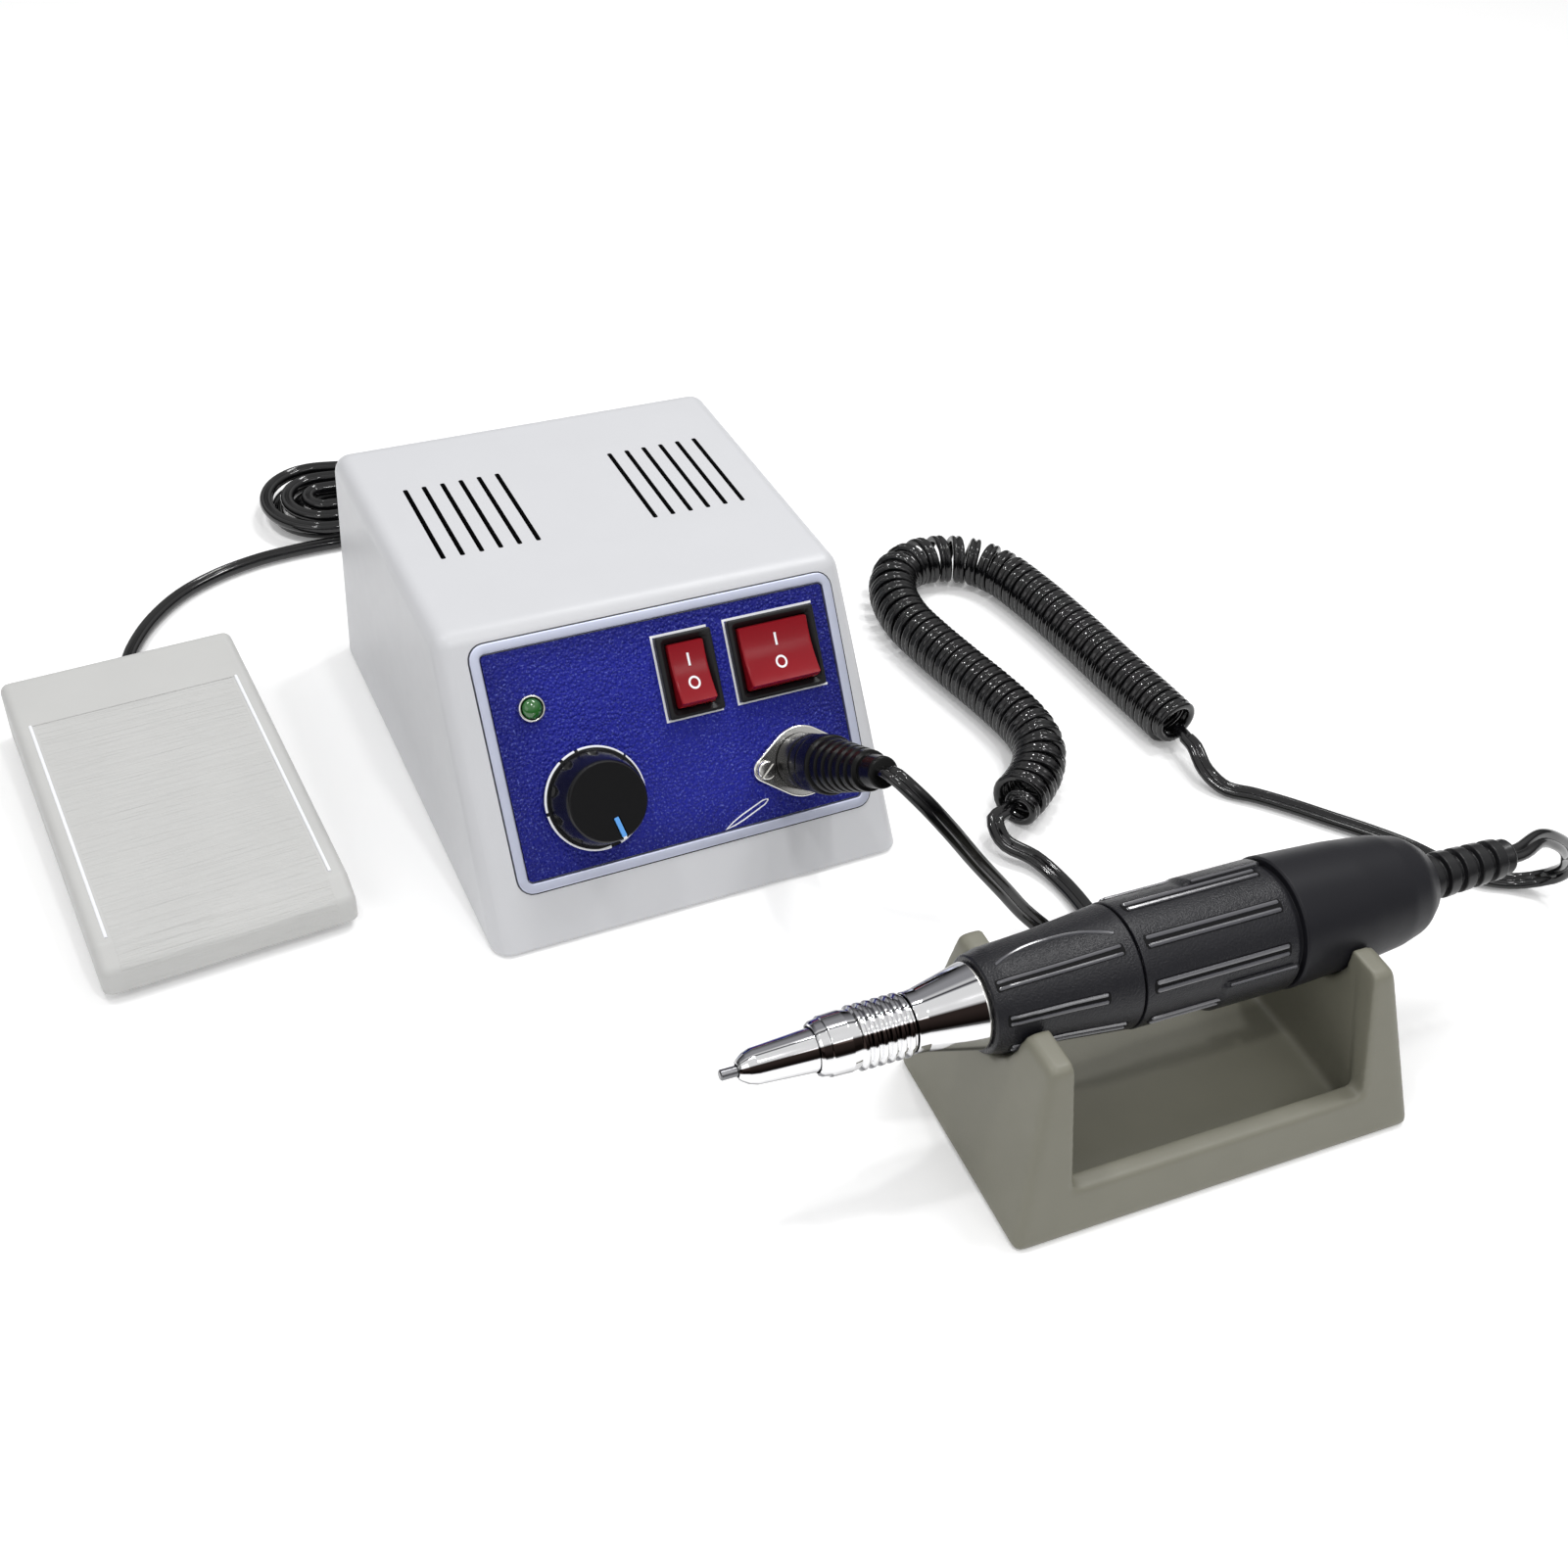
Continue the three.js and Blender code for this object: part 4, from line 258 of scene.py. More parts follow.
class Wire:
    """A socket of a material's nodes, which takes part in sums like a number."""

    def __init__(self, finish, socket):
        self.finish = finish
        self.socket = socket

    def __add__(self, other):
        return self.finish.math("ADD", self, other)

    __radd__ = __add__

    def __sub__(self, other):
        return self.finish.math("SUBTRACT", self, other)

    def __rsub__(self, other):
        return self.finish.math("SUBTRACT", other, self)

    def __mul__(self, other):
        return self.finish.math("MULTIPLY", self, other)

    __rmul__ = __mul__

    def __truediv__(self, other):
        return self.finish.math("DIVIDE", self, other)

    def __rtruediv__(self, other):
        return self.finish.math("DIVIDE", other, self)

    def __lt__(self, other):
        return self.finish.math("LESS_THAN", self, other)

    def __gt__(self, other):
        return self.finish.math("GREATER_THAN", self, other)

    def __abs__(self):
        return self.finish.math("ABSOLUTE", self)


class Finish:
    """One procedural material, patterned in the own coordinates of the piece that wears it."""

    def __init__(self, name, **uniform):
        self.material = bpy.data.materials.new(name)
        self.material.use_nodes = True
        self.tree = self.material.node_tree
        self.shader = self.tree.nodes["Principled BSDF"]
        for words, value in uniform.items():
            self.set(words.replace("_", " ").title().replace("Ior", "IOR"), value)
        self.place = self.node("ShaderNodeTexCoord", output="Object")

    def set(self, socket, value):
        self.feed(self.shader.inputs[socket], value)

    def feed(self, socket, value):
        if isinstance(value, Wire):
            self.tree.links.new(value.socket, socket)
        else:
            socket.default_value = value

    def node(self, kind, settings=None, inputs=None, output=0):
        """A new node with its settings, then the values or links of its sockets."""
        node = self.tree.nodes.new(kind)
        for key, value in (settings or {}).items():
            setattr(node, key, value)
        for key, value in (inputs or {}).items():
            self.feed(node.inputs[key], value)
        return Wire(self, node.outputs[output])

    def math(self, operation, first, second=0):
        return self.node("ShaderNodeMath", {"operation": operation}, {0: first, 1: second})

    def mix(self, first, second, factor):
        inputs = {0: factor, 6: first, 7: second}
        return self.node("ShaderNodeMix", {"data_type": "RGBA"}, inputs, 2)

    def noise(self, size, detail=3, stretch=None):
        """Cloudy values from 0 to 1, whose spots are the stated number of millimetres."""
        place = self.place
        if stretch:
            place = self.node("ShaderNodeVectorMath", {"operation": "MULTIPLY"}, {0: place, 1: stretch})
        inputs = {"Vector": place, "Scale": 1 / (size * MM), "Detail": detail}
        return self.node("ShaderNodeTexNoise", None, inputs)

    def cells(self, size):
        inputs = {"Vector": self.place, "Scale": 1 / (size * MM)}
        return self.node("ShaderNodeTexVoronoi", None, inputs)

    def along(self, axis):
        """The place along one axis, in millimetres."""
        return self.node("ShaderNodeSeparateXYZ", None, {0: self.place}, axis) / MM

    def stripes(self, axis, pitch):
        return self.math("SINE", self.along(axis) * (2 * math.pi / pitch))

    def clamp(self, value):
        return self.node("ShaderNodeClamp", None, {0: value})

    def bump(self, height, depth):
        """Relief from 0 to 1 of the stated depth in millimetres."""
        inputs = {"Height": height, "Distance": depth * MM, "Strength": 1.0}
        self.set("Normal", self.node("ShaderNodeBump", None, inputs))


class Sky(Finish):
    """The nodes of the world, made in the same way."""

    def __init__(self, name):
        self.world = bpy.data.worlds.new(name)
        self.world.use_nodes = True
        self.tree = self.world.node_tree
        self.shader = self.tree.nodes["Background"]


def shade(colour, factor=1.0):
    """The colour made lighter or darker, with its alpha."""
    return (*(min(channel * factor, 1) for channel in colour), 1)


def plastic(name, colour, roughness, grain=0.5, depth=0.02, clouding=0.08, **uniform):
    """Moulded plastic: a fine grain, slight clouds in its colour and wear in its shine."""
    finish = Finish(name, **uniform)
    low, high = shade(colour, 1 - clouding), shade(colour, 1 + clouding)
    finish.set("Base Color", finish.mix(low, high, finish.noise(14)))
    finish.set("Roughness", roughness + (finish.noise(5) - 0.5) * 0.12)
    finish.bump(finish.noise(grain, 2), depth)
    return finish


def metal(name, colour, roughness, stretch=None):
    """Bright or brushed metal, with faint smears that vary its shine."""
    finish = Finish(name, metallic=1.0)
    streaks = finish.noise(1.2, 3, stretch)
    finish.set("Base Color", finish.mix(shade(colour, 0.92), shade(colour, 1.04), finish.noise(9)))
    finish.set("Roughness", roughness + streaks * roughness * 0.5)
    finish.bump(streaks, 0.004)
    return finish


# Painted reflections on the chrome: middle, half width and softness of each band in degrees, with its colour
PAINTED_REFLECTION_BANDS = (
    (102, 15, 3, (0.3, 0.3, 0.32)),
    (82, 2, 1.5, (0.04, 0.04, 0.05)),
    (40, 13, 2, (0.03, 0.021, 0.019)),
    (147, 14, 4, (0.1, 0.1, 0.11)),
)


def handpiece_chrome():
    """Polished chrome whose colour carries painted reflections: the soft dark bands of a studio, set by the
    angle round its axis.
    """
    finish = Finish("chrome_handpiece", metallic=1.0)
    angle = finish.math("ARCTAN2", finish.along(1), finish.along(0)) * (180 / math.pi)
    rise = finish.math("FLOORED_MODULO", -90 - angle, 180)
    colour = shade((0.84, 0.84, 0.85))
    for middle, half, soft, tone in PAINTED_REFLECTION_BANDS:
        band = finish.clamp((half + soft - abs(rise - middle)) / (2 * soft))
        colour = finish.mix(colour, shade(tone), band)
    finish.set("Base Color", colour)
    finish.set("Roughness", 0.05 + finish.noise(4) * 0.05)
    finish.bump(finish.noise(2, 1), 0.001)
    return finish


def panel_blue(colour):
    """Painted panel with a leather-like texture and light flecks; its borders are darkened with painted
    shade.
    """
    finish = Finish("panel_blue", specular_ior_level=0.14)
    left, right, low, high = PANEL
    across = abs(finish.along(0) - (left + right) / 2) / ((right - left) / 2)
    upward = abs(finish.along(1) - (low + high) / 2) / ((high - low) / 2)
    # Painted shade: the colour darkens towards the panel's borders
    painted_border_shade = finish.clamp((finish.math("MAXIMUM", across, upward) - 0.62) * 2.2)
    pebbles = finish.cells(0.85)
    relief = finish.clamp(1.25 - pebbles * 1.7)
    ground = finish.mix(shade(colour, 1.15), shade(colour, 0.5), painted_border_shade)
    flecks = finish.clamp((finish.noise(0.6, 2) - 0.58) * 6)
    finish.set("Base Color", finish.mix(ground, shade((0.16, 0.2, 0.62)), flecks * 0.6))
    finish.set("Roughness", 0.36 + flecks * 0.15)
    finish.bump(relief, 0.34)
    return finish


def laminated(name, colour, axis, pitch, roughness, depth):
    """Stacked sheets or wound wire: fine lines across one axis."""
    finish = Finish(name, metallic=0.8)
    lines = finish.stripes(axis, pitch) * 0.5 + 0.5
    finish.set("Base Color", finish.mix(shade(colour, 0.55), shade(colour, 1.1), lines))
    finish.set("Roughness", roughness + finish.noise(2) * 0.1)
    finish.bump(lines, depth)
    return finish


def pedal_grey(colour, lined):
    """Pale moulding, on its tread with fine lines across."""
    finish = Finish("pedal_lined" if lined else "pedal_grey", specular_ior_level=0.4)
    clouds = finish.noise(18)
    finish.set("Base Color", finish.mix(shade(colour, 0.96), shade(colour, 1.04), clouds))
    grain = finish.noise(0.5, 2)
    if not lined:
        finish.set("Roughness", 0.5 + finish.noise(6) * 0.1)
        finish.bump(grain, 0.02)
        return finish
    inside = abs(finish.along(0) - PEDAL_WIDTH / 2) < PEDAL_WIDTH / 2 - TREAD_BORDER["side"]
    tread = finish.along(1) < PEDAL_DEPTH - TREAD_BORDER["back"]
    strokes = finish.noise(1.1, 4, (0.05, 1, 1))
    lines = finish.clamp((strokes - 0.35) * 3)
    finish.set("Roughness", 0.42 + lines * 0.12)
    finish.bump(lines * inside * tread + grain * 0.08, 0.2)
    return finish


def board_green():
    finish = Finish("board_green", coat_weight=0.4, coat_roughness=0.15)
    tracks = finish.clamp((finish.noise(2.4, 0, (1, 0.35, 1)) - 0.5) * 40)
    finish.set("Base Color", finish.mix(shade((0.01, 0.09, 0.03)), shade((0.03, 0.2, 0.07)), tracks))
    finish.set("Roughness", 0.45 + finish.noise(3) * 0.1)
    finish.bump(tracks, 0.03)
    return finish


def make_finishes(colours):
    """Every finish by its short name."""
    black = (0.007, 0.007, 0.008)
    return {
        "white": plastic("box_white", colours.housing, 0.36, 0.6, 0.012, 0.02, specular_ior_level=0.45),
        "blue": panel_blue(colours.panel),
        "trim": metal("silver_trim", colours.trim, 0.42, (0.05, 1, 1)),
        "ink": plastic("print_and_painted_highlight_white", (0.86, 0.87, 0.9), 0.5, 0.3, 0.005, 0.02),
        "gloss": plastic("black_gloss", (0.005, 0.005, 0.006), 0.24, 1.2, 0.006, specular_ior_level=0.28),
        "black": plastic("black_plastic", black, 0.4, 0.5, 0.02, specular_ior_level=0.3),
        # Also used as the painted shade in the bands round the handpiece's raised lines
        "matt": plastic("black_matt_and_painted_shade", (0.005, 0.005, 0.0055), 0.6, 0.35, 0.02, specular_ior_level=0.12),
        "grip": plastic("grip_black", colours.grip, 0.3, 0.45, 0.16, 0.12, specular_ior_level=0.3),
        # The raised lines' lighter colour is a painted highlight
        "line": plastic("grip_line_painted_highlight", (0.075, 0.075, 0.085), 0.16, 0.8, 0.01, specular_ior_level=1.0),
        "cap": plastic("cap_black", colours.grip, 0.42, 0.5, 0.012, 0.12, specular_ior_level=0.2),
        "rubber": plastic("rubber_black", black, 0.3, 0.6, 0.02, specular_ior_level=0.35),
        "plug": plastic("plug_black", (0.004, 0.004, 0.004), 0.26, 0.8, 0.008, specular_ior_level=0.16),
        "cord": plastic("cord_black", colours.cord, 0.1, 2.2, 0.02, specular_ior_level=0.52),
        "red": plastic("switch_red", colours.rocker, 0.2, 0.8, 0.01, 0.12, specular_ior_level=0.22),
        "lamp": plastic("lamp_green", colours.lamp, 0.12, 1.5, 0.01, 0.25, coat_weight=1.0,
                        transmission_weight=0.15),
        "pointer": plastic("pointer_blue", colours.pointer, 0.45, 0.4, 0.01, 0.05),
        "khaki": plastic("cradle_khaki", colours.cradle, 0.46, 0.55, 0.025, 0.06),
        "pedal": pedal_grey(colours.pedal, True),
        "pedal_plain": pedal_grey(colours.pedal, False),
        "chrome": handpiece_chrome(),
        # Near-black painted shadow for the inside of the housing and the walls of its vent slots
        "shade": plastic("painted_shadow_inside", (0.012, 0.012, 0.013), 0.8, specular_ior_level=0.1),
        "fitting": metal("chrome_fittings", (0.78, 0.77, 0.74), 0.14),
        "steel": metal("steel", (0.52, 0.52, 0.53), 0.28, (1, 1, 0.1)),
        "shank": metal("bur_steel", (0.2, 0.2, 0.21), 0.2, (1, 1, 0.1)),
        "core": laminated("core_steel", (0.3, 0.3, 0.31), 1, 0.7, 0.4, 0.05),
        "copper": laminated("copper_winding", (0.5, 0.2, 0.09), 2, 0.8, 0.3, 0.12),
        "board": board_green(),
    }


FINISHES = {}


# Outlines and solids

def spread(first, last, count):
    """Numbers at even steps from the first to the last."""
    return [first + (last - first) * step / (count - 1) for step in range(count)]


def held(share):
    return min(max(share, 0), 1)


def heading_at(points, index, reach=1):
    """The direction of a line of points at one of them."""
    return (points[min(index + reach, len(points) - 1)] - points[max(index - reach, 0)]).normalized()


def rounded(points, closed=True, steps=5):
    """The outline with each corner rounded by its point's third number, where it has one."""
    result = []
    for index, point in enumerate(points):
        corner = Vector(point[:2])
        radius = point[2] if len(point) > 2 else 0
        if not radius or not closed and index in (0, len(points) - 1):
            result.append(corner)
            continue
        before = Vector(points[index - 1][:2]) - corner
        after = Vector(points[(index + 1) % len(points)][:2]) - corner
        slope = math.tan(before.angle(after) / 2)
        reach = min(radius / slope, before.length * 0.49, after.length * 0.49)
        start = before.normalized() * reach
        end = after.normalized() * reach
        centre = (start + end).normalized() * math.hypot(reach, reach * slope)
        first, last = start - centre, end - centre
        angle = math.atan2(first.cross(last), first.dot(last))
        for step in range(steps + 1):
            result.append(corner + centre + Matrix.Rotation(angle * step / steps, 2) @ first)
    return result


def rectangle(x0, x1, y0, y1, radius):
    """A function that gives a rounded rectangle pushed in by a margin."""
    def outline(margin=0):
        soft = max(radius - margin, SHARPEST)
        corners = ((x0 + margin, y0 + margin), (x1 - margin, y0 + margin),
                   (x1 - margin, y1 - margin), (x0 + margin, y1 - margin))
        return rounded([(*corner, soft) for corner in corners])
    return outline


def centred(width, height, radius):
    return rectangle(-width / 2, width / 2, -height / 2, height / 2, radius)


def inset_corners(corners, margin):
    """The corners of a convex outline that is pushed in by a margin."""
    for index, corner in enumerate(corners):
        here = Vector(corner)
        before = (Vector(corners[index - 1]) - here).normalized()
        after = (Vector(corners[(index + 1) % len(corners)]) - here).normalized()
        yield here + (before + after).normalized() * margin / math.sin(before.angle(after) / 2)


def polygon(corners, radius):
    """A function that gives a convex outline, with its corners rounded alike, pushed in by a margin."""
    def outline(margin=0):
        soft = max(radius - margin, SHARPEST)
        return rounded([(*corner, soft) for corner in inset_corners(corners, margin)], steps=8)
    return outline


def levels(low, high, low_edge=0, high_edge=0, steps=4):
    """Pairs of margin and height up the side of a solid whose rims are rounded."""
    quarter = spread(0, math.pi / 2, steps + 1)
    result = [(0, low)]
    if low_edge:
        result = [(low_edge * (1 - math.sin(a)), low + low_edge * (1 - math.cos(a))) for a in quarter]
    if not high_edge:
        return [*result, (0, high)]
    return result + [(high_edge * (1 - math.cos(a)), high - high_edge * (1 - math.sin(a))) for a in quarter]


def level_ring(radius_at, height, sides):
    """Points round z at a height; their radius is a number or a function of height and angle."""
    points = []
    for side in range(sides):
        angle = side / sides * 2 * math.pi
        radius = radius_at(height, angle) if callable(radius_at) else radius_at
        points.append((radius * math.cos(angle), radius * math.sin(angle), height))
    return points


def circle(radius, sides):
    return [point[:2] for point in level_ring(radius, 0, sides)]


def as_object(mesh):
    bmesh.ops.recalc_face_normals(mesh, faces=mesh.faces)
    data = bpy.data.meshes.new("piece")
    mesh.to_mesh(data)
    mesh.free()
    item = bpy.data.objects.new("piece", data)
    bpy.context.scene.collection.objects.link(item)
    return item


def stack(rings, closed=False):
    """A solid through rings of the same number of points; a closed one runs on into its first ring."""
    mesh = bmesh.new()
    loops = [[mesh.verts.new(point) for point in ring] for ring in rings]
    pairs = list(zip(loops, loops[1:]))
    if closed:
        pairs.append((loops[-1], loops[0]))
    for low, high in pairs:
        for index, vertex in enumerate(low):
            after = (index + 1) % len(low)
            mesh.faces.new((vertex, low[after], high[after], high[index]))
    if not closed:
        mesh.faces.new(reversed(loops[0]))
        mesh.faces.new(loops[-1])
    return as_object(mesh)


def plate(outline, heights, closed=False):
    """A plate, a pot or a closed frame from its outline and its pairs of margin and height."""
    return stack([[(*point, height) for point in outline(margin)] for margin, height in heights], closed)


def lathe(profile, sides=96, tube=False, steps=4):
    """A turned solid about z from points of height, radius and rounding; a tube's profile is closed."""
    outline = rounded(profile, tube, steps)
    return stack([level_ring(radius, height, sides) for height, radius in outline], tube)


def rod(radius, low, high, sides=48):
    return lathe([(low, radius), (high, radius)], sides)


def block(x0, x1, y0, y1, z0, z1):
    return stack([[(x0, y0, z), (x1, y0, z), (x1, y1, z), (x0, y1, z)] for z in (z0, z1)])


def soft_block(outline, x0, x1, edge):
    """A block from its side view, y and z, with rounded rims at both ends."""
    return stack([[(x, *point) for point in outline(margin)] for margin, x in levels(x0, x1, edge, edge, 6)])


def moulding(corners, width, wall, radius, edge):
    """A soft block from the corners of its side view, smaller on every side by a wall."""
    outline = polygon(list(inset_corners(corners, wall)), radius)
    return soft_block(outline, wall, width - wall, edge)


def moved(item, x=0, y=0, z=0):
    item.data.transform(Matrix.Translation((x, y, z)))
    return item


def turned(item, angle, axis):
    item.data.transform(turn(angle, axis))
    return item


def gather(first, *others):
    """One object of several that aren't welded."""
    mesh = bmesh.new()
    for item in (first, *others):
        mesh.from_mesh(item.data)
    mesh.to_mesh(first.data)
    mesh.free()
    for item in others:
        bpy.data.objects.remove(item)
    return first


def modified(item, kind, **settings):
    modifier = item.modifiers.new(kind, kind)
    for key, value in settings.items():
        setattr(modifier, key, value)
    graph = bpy.context.evaluated_depsgraph_get()
    data = bpy.data.meshes.new_from_object(item.evaluated_get(graph))
    item.modifiers.clear()
    item.data = data
    return item


def cut(item, *tools):
    for tool in tools:
        modified(item, "BOOLEAN", operation="DIFFERENCE", object=tool, solver="EXACT")
        bpy.data.objects.remove(tool)
    return item


def sweep(points, section, sides=None):
    """A solid that carries a section along points; its first axis lies level unless sides are given."""
    rings = []
    for index, point in enumerate(points):
        heading = heading_at(points, index)
        side = sides[index] if sides else Z_AXIS.cross(heading)
        side = (side - heading * side.dot(heading)).normalized()
        up = heading.cross(side)
        rings.append([point + side * a + up * b for a, b in section])
    return stack(rings)


def twin_section(width, thickness, half=11):
    """The section of two strands side by side with a deep groove between them."""
    across = width / 4
    points = []
    for side in (1, -1):
        for degrees in spread(-152, 152, half):
            angle = math.radians(degrees)
            points.append((side * across * (1 + math.cos(angle)), side * thickness / 2 * math.sin(angle)))
    return points


def settle(item, name, body, slot, finish, place, *nodes, sharp=35):
    """Names, finishes and places a piece, and lets it ride on its body."""
    item.name = name
    item.data.name = name
    item.data.transform(Matrix.Scale(MM, 4))
    for part in finish.split():
        item.data.materials.append(FINISHES[part].material)
    item.data.shade_smooth()
    item.data.set_sharp_from_angle(angle=math.radians(sharp))
    modified(item, "WEIGHTED_NORMAL", keep_sharp=True)
    item.matrix_world = place
    if body:
        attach(item, body)
    if nodes:
        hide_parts(*nodes)
    return item


def paint(item, choose):
    """Gives each face the finish whose number choose returns for it, in millimetres."""
    for face in item.data.polygons:
        face.material_index = int(choose(face))
    return item


# Control box

slope_outline = rectangle(*PANEL, PANEL_CORNER)


def drafted(item):
    """The block with its two sides leaning in towards the lid."""
    middle = BOX_WIDTH / 2
    for vertex in item.data.vertices:
        narrowing = 1 - SIDE_DRAFT / middle * vertex.co.z / BOX_HEIGHT
        vertex.co.x = middle + (vertex.co.x - middle) * narrowing
    return item


def vent_tools(count):
    """Cutters for the two groups of slots in the lid."""
    tools = []
    half = VENT["width"] / 2
    for side in (-1, 1):
        for slot in range(count):
            x = BOX_WIDTH / 2 + side * VENT["centre"] + (slot - (count - 1) / 2) * VENT["pitch"]
            outline = rectangle(x - half, x + half, VENT["front"], VENT["front"] + VENT["length"], half * 0.7)
            tools.append(plate(outline, [(0, BOX_HEIGHT - 5), (0, BOX_HEIGHT + 2)]))
    return gather(*tools)


def build_housing(looks):
    lean = BOX_LEAN / BOX_HEIGHT
    corners = [(BOX_LOW * lean, BOX_LOW), (BOX_DEPTH, BOX_LOW), (BOX_DEPTH, BOX_HEIGHT),
               (BOX_LEAN, BOX_HEIGHT)]
    outer = drafted(moulding(corners, BOX_WIDTH, 0, BOX_CORNER, BOX_EDGE))
    inner = drafted(moulding(corners, BOX_WIDTH, BOX_WALL, BOX_CORNER - BOX_WALL, BOX_EDGE - BOX_WALL))
    tools = [inner, block(-5, BOX_WIDTH + 5, 2 * BOX_LOW, BOX_DEPTH + 5, 3 * BOX_LOW, FOOT_HEIGHT)]
    for margin, low in ((-GAP, -PANEL_RECESS), (TRIM_WIDTH + 3, -2 * BOX_WALL)):
        tools.append(turned(plate(slope_outline, [(margin, low), (margin, 4)]), SLOPE_ANGLE, "X"))
    tools.append(vent_tools(looks.sizes.vents))
    (x, z), (across, upward) = INLET_PLACE, INLET_HOLE
    tools.append(block(x - across, x + across, BOX_DEPTH - 4.5, BOX_DEPTH + 2, z - upward, z + upward))
    for (x, z), radius in ROUND_HOLES:
        tools.append(moved(turned(rod(radius, -4.5, 2), -math.pi / 2, "X"), x, BOX_DEPTH, z))
    middle = Vector((BOX_WIDTH / 2, 80, BOX_HEIGHT / 2))
    back = VENT["front"] + VENT["length"]

    # Inward faces and the upper walls of the vent slots take near-black painted shadow
    def in_painted_shadow(face):
        inward = face.normal.dot(face.center - middle) < 0
        within = VENT["front"] <= face.center.y <= back and 10 < face.center.x < BOX_WIDTH - 10
        return inward or within and BOX_HEIGHT - 2.4 < face.center.z < BOX_HEIGHT - 0.05

    shell = paint(cut(outer, *tools), in_painted_shadow)
    settle(shell, "housing", "set", "box_white", "white shade", SET, "housing_shell", sharp=30)


# Panel

def opening(width, height):
    """The outline of a switch's body behind its rim."""
    return centred(width - 1.8, height - 1.8, GAP)


def build_panel(looks):
    margin = TRIM_WIDTH + GAP
    panel = plate(slope_outline, [(margin, -0.9), (margin, PANEL_TOP - 0.04), (margin + 0.06, PANEL_TOP)])
    x, y = SOCKET_PLACE
    screws = [((x + side * SCREW_SPACING, y), SCREW_HOLE) for side in (-1, 1)]
    places = [(KNOB_PLACE, 4.8), (LED_PLACE, 3.25), (SOCKET_PLACE, 8.4), *screws]
    holes = [moved(rod(radius, -2, 2), *place) for place, radius in places]
    for part in SWITCHES.values():
        tool = plate(opening(part["width"], SWITCH_HEIGHT), [(0, -2), (0, 2)])
        holes.append(moved(tool, *part["place"]))
    panel = cut(panel, gather(*holes))
    settle(panel, "panel_plate", "set", "panel_blue", "blue", SLOPE, "front_panel")
    section = [(0, -0.9), (0, 0.15), (0.1, 0.42), (0.4, 0.6), (TRIM_WIDTH - 0.5, 0.6),
               (TRIM_WIDTH - 0.15, 0.44), (TRIM_WIDTH, 0.12), (TRIM_WIDTH, -0.9)]
    trim = plate(slope_outline, section, closed=True)
    settle(trim, "panel_frame", "set", "silver_trim", "trim", SLOPE, "panel_trim")
    build_prints(looks.sizes.line / MM)


def build_prints(line):
    """White lines beside the switches and a pen-shaped mark."""
    low, high = PANEL_TOP, PANEL_TOP + 0.05
    marks = []
    for part in SWITCHES.values():
        x, y = part["place"]
        left, right = x - part["width"] / 2, x + part["width"] / 2 + part["beyond"]
        bottom, top = y - SWITCH_HEIGHT / 2, y + SWITCH_HEIGHT / 2
        marks.append(block(left - line, left, bottom - line, top + line, low, high))
        marks.append(block(left, right, bottom - line, bottom, low, high))
        marks.append(block(left, right - 0.4, top, top + line, low, high))
    start, end = map(Vector, PEN)
    heading = (end - start).normalized()
    side = Vector((-heading.y, heading.x))
    length = (end - start).length
    outer, inner = pen_points(length, 0.85), pen_points(length - 1.4, 0.5)
    rings = []
    for height, points, inset in ((low, outer, 0), (high, outer, 0), (high, inner, 0.9), (low, inner, 0.9)):
        rings.append([(*(start + heading * (a + inset) + side * b), height) for a, b in points])
    marks.append(stack(rings, closed=True))
    settle(gather(*marks), "panel_prints", "set", "box_white", "ink", SLOPE)


def pen_points(length, half):
    """A slim outline with a pointed front, along the first axis."""
    halves = ((0, 0.02), (0.2, half * 0.75), (0.4, half), (0.9, half * 0.9), (1, 0.2))
    upper = [(length * share, width) for share, width in halves]
    return [*upper, *((a, -b) for a, b in reversed(upper))]


# Knob

def knob_radius(height, angle):
    """Radius of the knob's body: a slight cone with scooped flutes."""
    waist = KNOB["waist"] + (KNOB["neck"] - KNOB["waist"]) * max(height - KNOB["skirt"], 0) / KNOB["body"]
    offset = ((angle / (2 * math.pi) * FLUTE["count"]) % 1 - 0.5) * 2 * math.pi / FLUTE["count"]
    away = FLUTE["centre"] * math.sin(offset)
    if height < FLUTE["low"] or abs(away) >= FLUTE["radius"]:
        return waist
    scoop = FLUTE["centre"] * math.cos(offset) - math.sqrt(FLUTE["radius"] ** 2 - away ** 2)
    return min(waist, waist + (scoop - waist) * min((height - FLUTE["low"]) / 0.4, 1))


def build_knob(looks):
    skirt = [(10.1, 3.3), (4.4, 3.3), (4.4, 7.4), (0.6, 7.4), (0.6, 12.8), (0.8, 13), (1.7, 13),
             (1.95, 12.85), (2, 12.6), (2, 12.1)]
    heights = [KNOB["skirt"], 2.7, FLUTE["low"], 3.2, 3.4, 4, 5, 6, 6.6, 7.2, 8, 9.5, 11]
    top = [(11.4, 10.15), (11.75, 10), (12, 9.8), (12.1, 9.5)]
    profile = [*skirt, *((height, knob_radius) for height in heights), *top]
    knob = stack([level_ring(radius, height, 240) for height, radius in profile])
    knob = cut(knob, block(4.25, 12.5, -0.9, 0.9, 11.15, 14))
    knob = paint(knob, lambda face: face.center.z > 12.05)
    place = on_slope(KNOB_PLACE) @ turn(KNOB_TURN, "Z")
    settle(knob, "knob", "knob", "black_plastic", "gloss matt", place, "speed_knob", sharp=28)
    pointer = plate(rectangle(4.4, 9.6, -0.6, 0.6, 0.2), levels(11.3, 12.2, 0, 0.15))
    settle(pointer, "knob_mark", "knob", "pointer_blue", "pointer", place, "knob_pointer")
    settle(knob_ring(), "knob_ring", "knob", "box_white", "ink", place)


